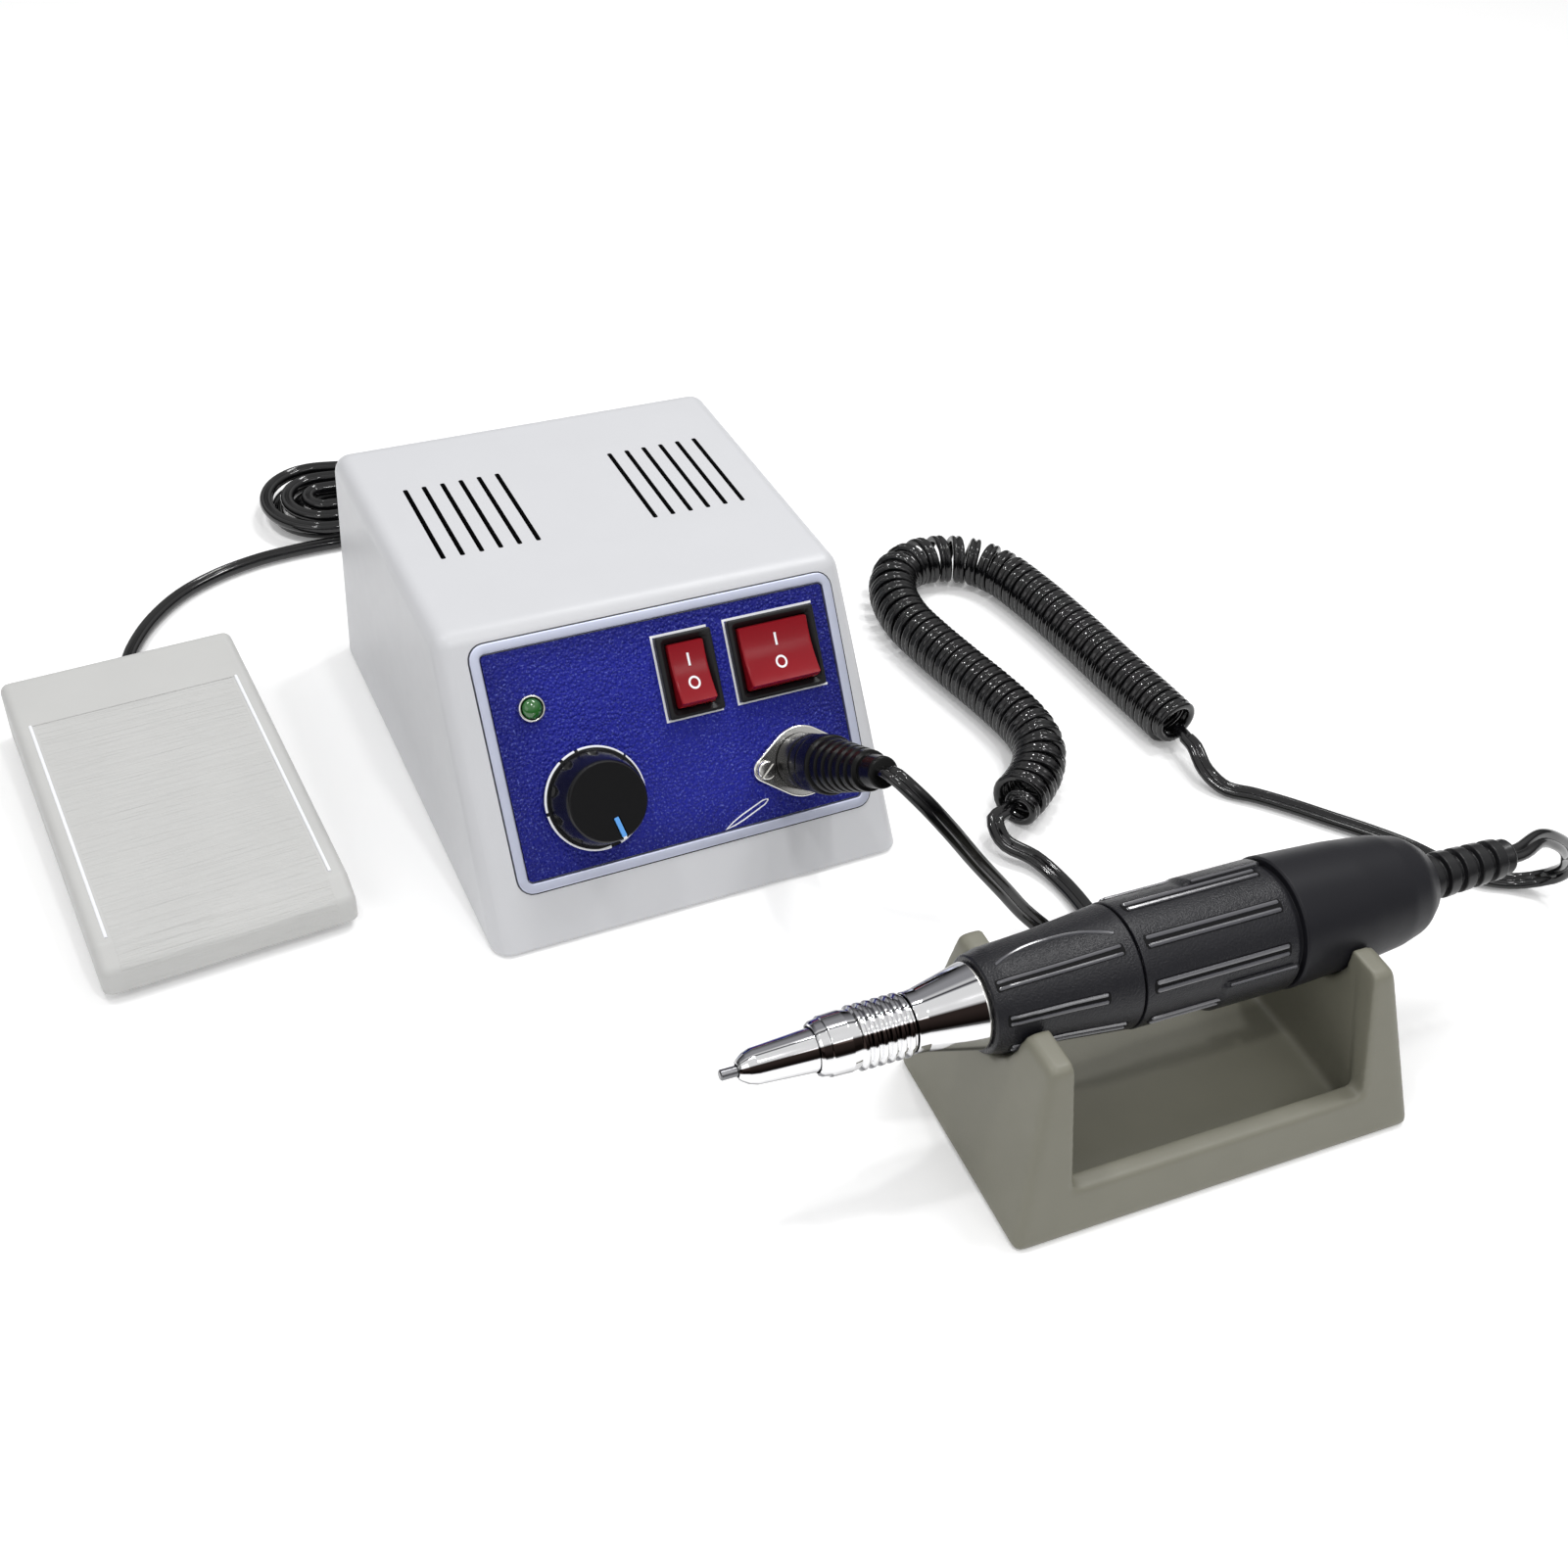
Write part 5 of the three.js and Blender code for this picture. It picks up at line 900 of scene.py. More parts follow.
def knob_ring():
    """A thin white line round the skirt with a few gaps, broader beside the pointer."""
    parts = []
    for start, end in ((4, 62), (66, 118), (121, 176), (180, 196), (200, 259), (263, 352)):
        rings = []
        for degrees in spread(start, end, 25):
            angle = math.radians(degrees)
            inner = 12.62 - 0.5 * max(0, 1 - min(degrees, 360 - degrees) / 22)
            section = ((inner, 2.0), (12.85, 2.0), (13.08, 1.7), (13.08, 1.45), (13.02, 1.45), (12.9, 1.95),
                       (12.85, 2.04), (inner, 2.04))
            rings.append([(r * math.cos(angle), r * math.sin(angle), z) for r, z in section])
        parts.append(stack(rings))
    rings = []
    for radius, height, half in ((9.65, 12.12, 0.45), (10.25, 11.55, 0.5), (10.3, 11.5, 0.5),
                                 (11.96, 2.45, 0.2), (12.0, 2.25, 0.12)):
        section = ((-0.1, -half), (0.06, -half), (0.06, half), (-0.1, half))
        rings.append([(radius + x, y, height) for x, y in section])
    return gather(*parts, stack(rings))


# Switches

def build_switch(name, part):
    width, half = part["width"], part["rocker"] / 2 + GAP
    outer = centred(width, SWITCH_HEIGHT, 0.7)
    body = opening(width - 0.6, SWITCH_HEIGHT - 0.6)
    well = centred(2 * half, 2 * (ROCKER_RADIUS + GAP), 0.15)
    rim = min(1.5, (width / 2 - half) * 0.55)
    steps = [(body, 0, -13), (body, 0, 0.3)]
    steps += [(outer, margin, z) for margin, z in levels(0.3, 2.1, 0, 0.45)]
    steps += [(well, -rim, 2.1), (well, -rim + 0.1, 2.02), (well, 0, 1), (well, 0, -4.6)]
    bezel = stack([[(*point, z) for point in outline(margin)] for outline, margin, z in steps])
    tabs = [block(-2.4, 2.4, y - 0.4, y + 0.4, -19, -12.9) for y in (-4.6, 4.6)]
    settle(gather(bezel, *tabs), f"{name}_bezel", "set", "black_plastic", "black", on_slope(part["place"]),
           f"{name}_switch_body")


def rocker_top(y):
    """The height of the dished face."""
    share = (1 - y / ROCKER_REACH) / 2
    return ROCKER_RISE * ((1 - share) ** 2 + share ** 2) + ROCKER_DISH * 2 * share * (1 - share)


def rocker_outline(margin=0):
    """The side view of a rocker: round ends, a dished face and a flat underside."""
    high = math.asin(ROCKER_RISE / ROCKER_RADIUS)
    low = -math.asin(2.4 / ROCKER_RADIUS)
    end = [(math.cos(a) * ROCKER_RADIUS, math.sin(a) * ROCKER_RADIUS) for a in spread(low, high, 9)]
    face = [ROCKER_REACH * (1 - step / 12) for step in range(1, 24)]
    points = [*end, *((y, rocker_top(y)) for y in face), *((-y, z) for y, z in reversed(end))]
    shrink = 1 - margin / ROCKER_RADIUS
    middle = 0.4
    return [Vector((y * shrink, middle + (z - middle) * (1 - margin / 2.8))) for y, z in points]


def build_rocker(name, part):
    half = part["rocker"] / 2
    rocker = soft_block(rocker_outline, -half, half, 0.55)
    place = on_slope(part["place"]) @ shift(0, 0, 0.9) @ turn(-ROCKER_TILT, "X")
    body = f"{name}_rocker"
    settle(rocker, f"{name}_key", body, "switch_red", "red", place, body, sharp=42)
    low, high = -0.1, 0.06
    bar = [[(x, y, rocker_top(y) + z) for x, z in ((-0.3, low), (0.3, low), (0.3, high), (-0.3, high))]
           for y in spread(1.7, 4.9, 5)]
    rings = []
    for step in range(40):
        angle = step / 40 * 2 * math.pi
        ring = []
        for radius, z in ((1.15, low), (1.7, low), (1.7, high), (1.15, high)):
            x, y = radius * 0.92 * math.cos(angle), radius * math.sin(angle) - 2.7
            ring.append((x, y, rocker_top(y) + z))
        rings.append(ring)
    marks = gather(stack(bar), stack(rings, closed=True))
    settle(marks, f"{name}_marks", body, "box_white", "ink", place)


def build_switches(looks):
    for name, part in SWITCHES.items():
        build_switch(name, part)
        build_rocker(name, part)


# Lamp, socket and plug

def build_lamp(looks):
    place = on_slope(LED_PLACE)
    bezel = [(0.3, 3.1), (0.3, 3.5, 0.1), (1.6, 3.3, 0.5), (1.6, 2.8, 0.2), (-7, 2.8), (-7, 3.1)]
    bezel = lathe(bezel, 64, True)
    settle(bezel, "lamp_bezel", "set", "chrome_fittings", "fitting", place, "led_bezel")
    dome = [(1.3 + 1.6 * math.sin(a), 2.5 * math.cos(a)) for a in (0.1 * step for step in range(16))]
    lens = lathe([(-7, 2.5), *dome], 64)
    settle(lens, "lamp_lens", "set", "lamp_green", "lamp", place, "led_lens", sharp=50)


def flange_outline(margin=0):
    """A disc with an ear at each of its two screws."""
    tangent = math.acos((FLANGE["radius"] - FLANGE["ear"]) / SCREW_SPACING)
    points = []
    for turns, centre, radius, half in ((0, SCREW_SPACING, FLANGE["ear"], tangent),
                                        (0.5, 0, FLANGE["radius"], math.pi / 2 - tangent),
                                        (1, -SCREW_SPACING, FLANGE["ear"], tangent),
                                        (1.5, 0, FLANGE["radius"], math.pi / 2 - tangent)):
        middle, reach = turns * math.pi, radius - margin
        for angle in spread(middle - half, middle + half, 13):
            points.append(Vector((centre + reach * math.cos(angle), reach * math.sin(angle))))
    return points


def build_socket(looks):
    flange = plate(flange_outline, levels(0.3, FLANGE["top"], 0, 0.5))
    screws = [moved(rod(SCREW_HOLE, -2, 4), side * SCREW_SPACING) for side in (-1, 1)]
    flange = cut(flange, rod(6.7, -12, 4), *screws)
    neck = lathe([(-10, 6.7), (-10, 8.1), (1.5, 8.1), (1.5, 6.7)], 64, True)
    settle(gather(flange, neck), "socket_plate", "set", "chrome_fittings", "fitting", PLUG, "socket_flange")
    for index, side in enumerate((-1, 1)):
        head = lathe([(-6, 1.3), (2.2, 1.3), (2.2, 2.5, 0.2), (3.3, 2.45, 0.7), (3.3, 0.1)], 48)
        slot = turned(block(-3, 3, -0.35, 0.35, 2.75, 5), 0.7 + index, "Z")
        head = moved(cut(head, slot), side * SCREW_SPACING)
        name = f"flange_screw_{index + 1}"
        settle(head, f"{name}_head", "set", "steel", "fitting", PLUG, name)


def ribbed(start, end, front, back, ribs, depth):
    """Profile of a tapering sleeve with ring grooves."""
    pitch = (end - start) / ribs
    points = []
    for rib in range(ribs):
        low = start + rib * pitch
        for share, inward in ((0, 0), (0.58, 0), (0.66, depth), (0.92, depth)):
            radius = front + (back - front) * (low + pitch * share - start) / (end - start)
            points.append((low + pitch * share, radius - inward, 0.175 if inward else 0.35))
    return points[:-1]


def build_plug(looks):
    barrel = [(-5.2, 5.3), (-5.2, 6.3, 0.2), (2.2, 6.3), (2.2, 7.4, 0.4), (9.2, 7.4, 0.2), (9.5, 7.1, 0.1),
              (10.2, 7.1, 0.1), (10.5, 7.4, 0.2), (13.6, 7.4, 0.3), (14.2, 7.0, 0.2), (14.8, 7.6, 0.4),
              (20.6, 7.6, 0.7), (21, 6.4, 0.2), (21, 4), (2.2, 4), (2.2, 5.3)]
    pins = []
    for pin in range(5):
        angle = math.pi / 2 + (pin - 2) * math.pi / 4
        pins.append(moved(rod(0.75, -8.8, 2.6, 16), 3.4 * math.cos(angle), 3.4 * math.sin(angle)))
    shell = gather(lathe(barrel, 96, True), *pins)
    settle(shell, "plug_shell", "plug", "black_plastic", "plug", PLUG, "plug_barrel")
    sleeve = [(21.3, 4), (21.3, 6.7, 0.4), *ribbed(22, 44, 6.9, 4.9, 6, 1), (44.4, 3.9, 0.2),
              (44.6, 4.1, 0.4), (PLUG_END, 3.9, 0.8), (PLUG_END, 0.1)]
    settle(lathe(sleeve, 80), "plug_sleeve", "plug", "rubber_black", "plug", PLUG, "plug_boot")


# Handpiece

def fit(item, name, node, slot, finish):
    """Settles a piece of the handpiece on the body of the node that it replaces."""
    settle(item, name, frame["nodes"][node]["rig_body"], slot, finish, HANDPIECE, node)


def between(outline, station):
    """The radius of a turned outline at a station."""
    for (a, low), (b, high) in zip(outline, outline[1:]):
        if station <= b:
            return low + (high - low) * (station - a) / (b - a)
    return outline[-1][1]


def surface_line(outline, first, last, degrees, radius, height=None):
    """A raised line with blunt ends on a turned surface, lighter in colour as a painted highlight, or, where
    it has a height, a flat band of painted shade.

    Degrees count from the top towards the front, one for each of its points.
    """
    points = []
    for station, angle in zip(spread(first, last, len(degrees)), degrees):
        reach = between(outline, station)
        facing = math.radians(180 + angle)
        points.append(Vector((reach * math.cos(facing), reach * math.sin(facing), station)))
    points[1:1] = [points[0].lerp(points[1], 0.12)]
    points[-1:-1] = [points[-1].lerp(points[-2], 0.12)]
    rings = []
    for index, point in enumerate(points):
        outward = Vector((point.x, point.y, 0)).normalized()
        across = heading_at(points, index).cross(outward).normalized()
        size = 0.5 if index in (0, len(points) - 1) else 1
        rings.append([point + size * (outward * a * (height or radius) + across * b * radius)
                      for a, b in circle(1, 8)])
    # Finish 1 is the lighter line colour, a painted highlight; finish 2 is black matt, painted shade
    return paint(stack(rings), lambda face: 2 if height else 1)


def line_pair(outline, first, last, middle, radius):
    """Two raised lines with painted highlights in a band of painted shade."""
    lines = [surface_line(outline, first - 0.6, last + 0.6, [middle] * 12, radius * 2.6 + 0.2, 0.12)]
    for apart in (-PAIR_APART, PAIR_APART):
        lines.append(surface_line(outline, first, last, [middle + apart] * 12, radius))
    return lines


def build_handpiece(looks):
    bur = lathe([(0, 0.9), (0.25, 1.175, 0.1), (31, 1.175), (31, 0.1)], 32)
    fit(bur, "bur_shank", "bur", "steel", "shank")
    build_chrome()
    build_sleeve()
    build_grip()
    cap = [(132.2, 10.8), (132.2, 13.6), (133.3, 13.6, 0.2), (133.3, 15.2, 0.2), (133.8, 15.6, 0.4),
           (153, 14.7, 60), (165, 13.5, 14), (171.5, 11.9, 8), (175.6, 8.9, 3), (176.6, 7.2, 0.6),
           (176.6, 5.5), (160, 5.5), (160, 10.8)]
    fit(lathe(cap, 128, True, 10), "cap", "rear_cap", "handpiece_black", "cap")
    boot = [(160.3, 5.2), (176.6, 5.2), (176.9, 5.7), *ribbed(177.2, 201.5, 5.8, 4.9, 5, 1.2),
            (BOOT_END, 4.6, 0.8), (BOOT_END, 0.1)]
    fit(lathe(boot, 64), "handpiece_boot", "cord_boot", "rubber_black", "rubber")


def build_chrome():
    """Nose, ribbed collar and cone with painted reflection bands, whose lip is plain chrome."""
    nose = [(3.8, 1.5), (3.8, 1.9, 0.1), (4.3, 2.4, 0.3), (5.6, 3.3, 0.8), (7.4, 3.9, 1.5), (20.3, 4.75),
            (40, 4.75), (40, 2.9), (14, 2.9), (14, 1.5)]
    collar = [(20.6, 5.05), (20.6, 5.5, 0.2), (21.2, 5.95, 0.3), (22.8, 6.2, 0.3), (23.1, 6.55, 0.3),
              (27.5, 6.7, 0.3)]
    rib = ((0, 6.35, 0.15), (0.45, 7.05, 0.25), (1.15, 7.05, 0.25), (1.6, 6.35, 0.15))
    for low in (29.5 + index * 2.08 for index in range(6)):
        collar += [(low + station, radius, soft) for station, radius, soft in rib]
    collar += [(42, 6.4, 0.2), (42, 5.05)]
    cone = [(42.3, 2.9), (42.3, 6.7, 0.3), (45, 6.9, 3), (57.2, 9.7, 0.5), (57.9, 9.6, 0.2), (57.9, 8.2),
            (70, 8.2), (70, 5.8), (60.7, 5.8), (60.7, 2.9)]
    for name, profile, node in (("nose", nose, "nose_cone"), ("chuck_collar", collar, "chuck_ring"),
                                ("chrome_cone", cone, "front_cone")):
        part = paint(lathe(profile, 128, True, 5), lambda face: face.center.z > 57.1)
        fit(part, name, node, "chrome_handpiece", "chrome fitting")


def build_sleeve():
    """The front sleeve with its lines, alike on both halves of its turn."""
    profile = [(58.2, 8.5), (58.2, 10.5, 0.2), (58.5, 10.9, 0.3), (62, 11.7, 4), (75, 12.4, 30),
               (92.1, 14.15, 0.4), (92.4, 13.8), (92.4, GRIP_BORE), (70.7, GRIP_BORE), (70.7, 8.5)]
    lines = []
    for half_turn in (0, 180):
        for middle, first, last in ((26, 60, 89), (66, 61, 83.6), (106, 62, 89)):
            lines += line_pair(SLEEVE_OUTLINE, first, last, middle + half_turn, 0.45)
        bows = [(share, 75 if share < 0.4 else 53) for share in spread(0, 1, 16)]
        arc = [half_turn - 10 + bow * (share - 0.4) ** 2 for share, bow in bows]
        lines.append(surface_line(SLEEVE_OUTLINE, 61.5, 89, arc, 0.42))
    sleeve = gather(lathe(profile, 128, True, 6), *lines)
    fit(sleeve, "sleeve", "front_sleeve", "handpiece_black", "grip line matt")


def grip_radius(station, angle):
    """The grip's radius, which steps up on two flanks towards the cap and is soft at its rims."""
    degrees = math.degrees(angle) - 180
    away = min(abs((degrees - middle + 180) % 360 - 180) for middle in FLANKS)
    inside = held((36.8 - away) / 1.6)
    risen = held((station - FLANK_STEP[0]) / (FLANK_STEP[1] - FLANK_STEP[0]))
    taper = 0.1 * (station - GRIP_ENDS[0]) / (GRIP_ENDS[1] - GRIP_ENDS[0])
    return 14.4 + 0.85 * inside * risen + taper - GRIP_RIMS.get(station, 0)


def build_grip():
    """The grip with nine pairs of lines, and a raised line along each edge of its flanks whose lighter colour
    is a painted highlight.
    """
    stations = [92.7, 92.8, 93.1, 96, 100, 105, 110.6, 111.3, 111.75, 112.2, 112.65, 113.1, 113.8, 118, 124,
                130, 131.5, 131.8, 131.9]
    front, back = GRIP_ENDS
    rings = [level_ring(GRIP_BORE, front, GRIP_SIDES)]
    rings += [level_ring(grip_radius, station, GRIP_SIDES) for station in stations]
    rings.append(level_ring(GRIP_BORE, back, GRIP_SIDES))
    lines = []
    for pair in range(9):
        lines += line_pair(GRIP_OUTLINE, 95, 129, 40 * pair - 14, 0.55)
    for middle in FLANKS:
        for edge in (middle - 36.4, middle + 36.4):
            # These flank edge lines stand in for the edge highlights: painted highlights
            lines.append(surface_line(FLANK_OUTLINE, 113.6, 131, [edge] * 12, 0.35))
    grip = gather(stack(rings, closed=True), *lines)
    fit(grip, "grip", "grip_sleeve", "handpiece_black", "grip line matt")


# Cradle and pedal

def softened(node, place, voxel, rounds):
    """A finer copy of a node's form with its edges worn round, in millimetres of its own frame."""
    data = frame["nodes"][node].data.copy()
    item = bpy.data.objects.new("piece", data)
    bpy.context.scene.collection.objects.link(item)
    item.data.materials.clear()
    item.data.transform(Matrix.Scale(1 / MM, 4) @ place.inverted())
    modified(item, "REMESH", mode="VOXEL", voxel_size=voxel)
    return modified(item, "SMOOTH", factor=0.5, iterations=rounds)


def build_cradle(looks):
    item = softened("cradle", CRADLE, 0.75, 8)
    settle(item, "cradle_block", "set", "cradle_khaki", "khaki", CRADLE, "cradle", sharp=180)


def build_pedal(looks):
    """The treadle: a hollow moulding with a sunk tread, two hinge lugs and a raised white line along each
    side as a painted highlight.
    """
    corners = [(-1, -8), (PEDAL_DEPTH + 1, -8), TREAD_BACK, TREAD_FRONT, (0, 9.4)]
    outer = moulding(corners, PEDAL_WIDTH, 0, 3.2, 2.4)
    inner = moulding(corners, PEDAL_WIDTH, PEDAL_WALL, 1.8, 0.8)
    below = block(-5, PEDAL_WIDTH + 5, -5, PEDAL_DEPTH + 5, -20, 3)
    middle = PEDAL_WIDTH / 2
    notch = block(middle - 3.7, middle + 3.7, PEDAL_DEPTH - 2 * PEDAL_WALL, PEDAL_DEPTH + 4, 0, 8.1)
    run, rise = Vector(TREAD_BACK) - Vector(TREAD_FRONT)
    recess = turned(block(4.3, PEDAL_WIDTH - 4.3, 1.5, 80.5, -0.14, 4), math.atan2(rise, run), "X")
    treadle = cut(outer, inner, below, notch, moved(recess, 0, *TREAD_FRONT))
    parts = []
    for side in (-1, 1):
        x = middle + side * 20
        lug = lathe([(-2.5, 1.9), (-2.5, 3.6), (2.5, 3.6), (2.5, 1.9)], 32, True)
        parts.append(moved(turned(lug, math.pi / 2, "Y"), x, *HINGE))
        parts.append(block(x - 2.5, x + 2.5, 95.4, 102.6, 12.6, 17.4))
    # Raised beads in white ink stand in for the highlights along the tread's sides: painted highlights
    for x in (4, PEDAL_WIDTH - 4):
        line = [Vector((x, y, 13.1 + (y - TREAD_FRONT[0]) * rise / run)) for y in spread(8, 87, 20)]
        parts.append(paint(sweep(line, circle(0.45, 8)), lambda face: True))
    settle(gather(treadle, *parts), "treadle", "treadle", "pedal_grey", "pedal ink", PEDAL, "pedal_treadle",
           sharp=30)


# Back wall

def build_back(looks):
    hollow = centred(24, 16, 1.5)
    rim = cut(plate(centred(30, 22, 2), levels(0.3, 2.3, 0, 0.5)), block(-12.5, 12.5, -8.5, 8.5, -2, 4))
    body = cut(block(-13, 13, -9, 9, -20, 1), plate(hollow, [(0, -13), (0, 4)]))
    face = cut(plate(centred(26, 18, 1), [(0, 0.2), (0, 2.2)]), plate(hollow, [(0, -1), (0, 4)]))
    blades = [block(x - 1, x + 1, y - 2, y + 2, -18, -1) for x, y in ((-7, 3), (0, 0), (7, 3))]
    place = on_back(INLET_PLACE)
    settle(gather(rim, body, face), "inlet", "set", "black_plastic", "black", place, "mains_inlet")
    settle(gather(*blades), "inlet_pins", "set", "steel", "steel", place)
    fuse, jack = on_back(FUSE_PLACE), on_back(JACK_PLACE)
    holder = [(-22, 0.1), (-22, 5.8), (0.3, 5.8), (0.3, 7.5, 0.2), (2.3, 7.4, 0.6), (2.3, 4.4, 0.2),
              (-20, 4.4), (-20, 0.1)]
    settle(lathe(holder, 64), "fuse_socket", "set", "black_plastic", "black", fuse, "fuse_holder")
    cap = lathe([(-13.4, 0.1), (-13.4, 3.8), (2.6, 3.8), (2.6, 6.2, 0.3), (6.6, 5.9, 0.7), (6.6, 0.1)], 64)
    cap = cut(cap, block(-3.8, 3.8, -0.6, 0.6, 5.4, 9))
    settle(cap, "fuse_button", "fuse_cap", "black_plastic", "gloss", fuse, "fuse_cap")
    socket = [(-22, 0.1), (-22, 5.2), (0.3, 5.2), (0.3, 6.5, 0.2), (2.3, 6.4, 0.6), (2.3, 3.5, 0.2),
              (-21, 3.5), (-21, 0.1)]
    settle(lathe(socket, 64), "jack_socket", "set", "silver_trim", "trim", jack, "pedal_jack")
    plug = [(-17.4, 0.1), (-17.4, 3.15, 0.8), (2.6, 3.15), (2.6, 5.5, 0.4), (14, 5.5, 0.3), (14.4, 5.2, 0.1),
            (15, 5.2, 0.1), (15.4, 5.5, 0.3), (20.6, 5.4, 1), (20.6, 3.4, 0.2), (JACK_TAIL, 3.2, 0.8),
            (JACK_TAIL, 0.1)]
    settle(lathe(plug, 64), "jack_shell", "set", "black_plastic", "black", jack, "pedal_plug")


# Cords

def smooth_path(points, step):
    """Points at even steps along a centripetal curve through the given ones."""
    points = [Vector(point) for point in points]
    ends = [points[0] * 2 - points[1], *points, points[-1] * 2 - points[-2]]
    dense = []
    for a, b, c, d in zip(ends, ends[1:], ends[2:], ends[3:]):
        p, q, r = (max((second - first).length, 1e-6) ** 0.5 for first, second in ((a, b), (b, c), (c, d)))
        start = ((b - a) / p - (c - a) / (p + q) + (c - b) / q) * q
        end = ((c - b) / q - (d - b) / (q + r) + (d - c) / r) * q
        for index in range(24):
            t = index / 24
            dense.append(b * (2 * t ** 3 - 3 * t ** 2 + 1) + start * (t ** 3 - 2 * t ** 2 + t)
                         + c * (3 * t ** 2 - 2 * t ** 3) + end * (t ** 3 - t ** 2))
    dense.append(points[-1])
    distances = travelled(dense)
    count = max(round(distances[-1] / step), 2)
    return at_distance(dense, distances, spread(0, distances[-1], count + 1))


def travelled(points):
    """The distance from the first point to each one."""
    distances = [0.0]
    for before, after in zip(points, points[1:]):
        distances.append(distances[-1] + (after - before).length)
    return distances


def at_distance(points, distances, wanted):
    """Points at rising distances along a line."""
    result = []
    index = 0
    for distance in wanted:
        while index < len(points) - 2 and distances[index + 1] < distance:
            index += 1
        span = distances[index + 1] - distances[index]
        share = (distance - distances[index]) / span if span else 0
        result.append(points[index].lerp(points[index + 1], held(share)))
    return result


def eased(share):
    """A share held from 0 to 1 that starts and ends softly."""
    share = held(share)
    return share * share * (3 - 2 * share)


def coil_rings(curls, per_turn=24):
    """Centres, level sides and pitch of the coiled cord: straight ends and a helix round its route.

    Where the route bends, the curls lie further apart on its middle line, so they don't cross inside.
    """
    route = smooth_path([(x, y, COIL_HEIGHT) for x, y in COIL_ROUTE], 0.5)
    distances = travelled(route)
    length = distances[-1]
    pace = length / (len(route) - 1)
    headings = [(b - a).normalized() for a, b in zip(route, route[1:])]
    headings.append(headings[-1])
    turns = [0.0]
    for index in range(1, len(route)):
        low, high = max(index - BEND_REACH, 0), min(index + BEND_REACH, len(route) - 1)
        bend = headings[low].angle(headings[high]) / ((high - low) * pace)
        inside = STRAIGHT < distances[index] < length - STRAIGHT
        turns.append(turns[-1] + (1 - bend * COIL_RADIUS if inside else 0))
    wanted = [0, STRAIGHT / 2]
    index = 0
    for turn_share in spread(0, turns[-1], curls * per_turn + 1):
        while index < len(turns) - 2 and turns[index + 1] < turn_share:
            index += 1
        span = turns[index + 1] - turns[index]
        part = (turn_share - turns[index]) / span if span else 0
        wanted.append(distances[index] + (distances[index + 1] - distances[index]) * part)
    wanted += [length - STRAIGHT / 2, length]
    centres, sides = [], []
    places = at_distance(route, distances, wanted)
    last = len(places) - 1
    for index, place in enumerate(places):
        heading = heading_at(places, index, 4)
        side = Vector((-heading.y, heading.x, 0)).normalized()
        grown = eased((min(index, last - index) - 2) / (per_turn * 0.6))
        angle = (index - 2) / per_turn * 2 * math.pi
        outward = side * math.cos(angle) + Z_AXIS * math.sin(angle)
        centres.append(place + outward * COIL_RADIUS * grown)
        sides.append(side * (1 - grown) + heading * grown)
    return centres, sides, turns[-1] * pace / curls


def rolled(points):
    """Side directions of a flat cord, rolled a little on its edge and level at both ends."""
    result = []
    last = len(points) - 1
    for index, point in enumerate(points):
        heading = heading_at(points, index)
        side = Z_AXIS.cross(heading).normalized()
        facing = heading.cross(Vector((0.45, 0.6, -0.66))).normalized()
        if facing.dot(side) < 0:
            facing.negate()
        share = min(index / 8, (last - index) / 8, 1) * (0.35 if point.z < 4 else 0.7)
        wanted = side.lerp(facing, share).normalized()
        if result:
            before = (result[-1] - heading * result[-1].dot(heading)).normalized()
            if wanted.dot(before) < 0:
                wanted.negate()
            wanted = before.lerp(wanted, 1 if index in (1, last) else 0.35).normalized()
        result.append(wanted)
    return result


def cord_piece(name, node, body, centres, section, sides=None):
    return settle(sweep(centres, section, sides), name, body, "cord_black", "cord", SET, node, sharp=80)


def declare(points, diameter):
    """Works out a cord's run in the set's frame, its length and its diameter in metres, and passes none of
    them on.
    """
    path = [list(SET @ (point * MM)) for point in points]
    travelled(points)[-1] * MM
    diameter * MM


def build_handset_cord(looks):
    width, thickness = looks.sizes.strand / MM, 2.3
    section = twin_section(width, thickness)
    centres, sides, pitch = coil_rings(looks.sizes.curls)
    coil_section = twin_section(pitch - 0.1, thickness, 9)
    coil = cord_piece("coiled_cord", "curly_cord", "set", centres, coil_section, sides)
    inside, out = in_set(PLUG, 0, 0, PLUG_END - TUCK), in_set(PLUG, 0, 0, PLUG_END + STRAIGHT)
    start = centres[0]
    before = start - heading_at(centres, 0) * 4
    lead = smooth_path([inside, out, *map(Vector, PLUG_ROUTE), before, start], 2)
    item = cord_piece("plug_cord", "plug_lead", None, lead, section, rolled(lead))
    top = SET @ (out * MM)
    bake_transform(item)
    declare(lead, width)
    declare(centres, pitch)
    inside, out = in_set(HANDPIECE, 0, 0, BOOT_END - TUCK), in_set(HANDPIECE, 0, 0, BOOT_END + STRAIGHT)
    end = centres[-1]
    after = end + heading_at(centres, len(centres) - 1) * 4
    lead = smooth_path([end, after, *map(Vector, HANDSET_ROUTE), out, inside], 2)
    item = cord_piece("handset_cord", "handset_lead", None, lead, section, rolled(lead))
    top = SET @ (out * MM)
    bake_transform(item)
    declare(lead, width)


def hank_point(turns, radius):
    """A place on a waisted stadium, anticlockwise from the run nearest the box."""
    run, share = HANK["run"], 1 / 6
    part = turns * 2 % 1
    side = 1 if turns * 2 % 2 < 1 else -1
    if part < 2 * share:
        x = -run + 2 * run * part / (2 * share)
        waist = 1 - (1 - HANK["waist"]) * math.cos(x / run * math.pi / 2) ** 2
        return Vector((side * x, -side * radius * waist, 0))
    angle = (part - 2 * share) / (1 - 2 * share) * math.pi - math.pi / 2
    return Vector((side * (run + radius * math.cos(angle)), side * radius * math.sin(angle), 0))


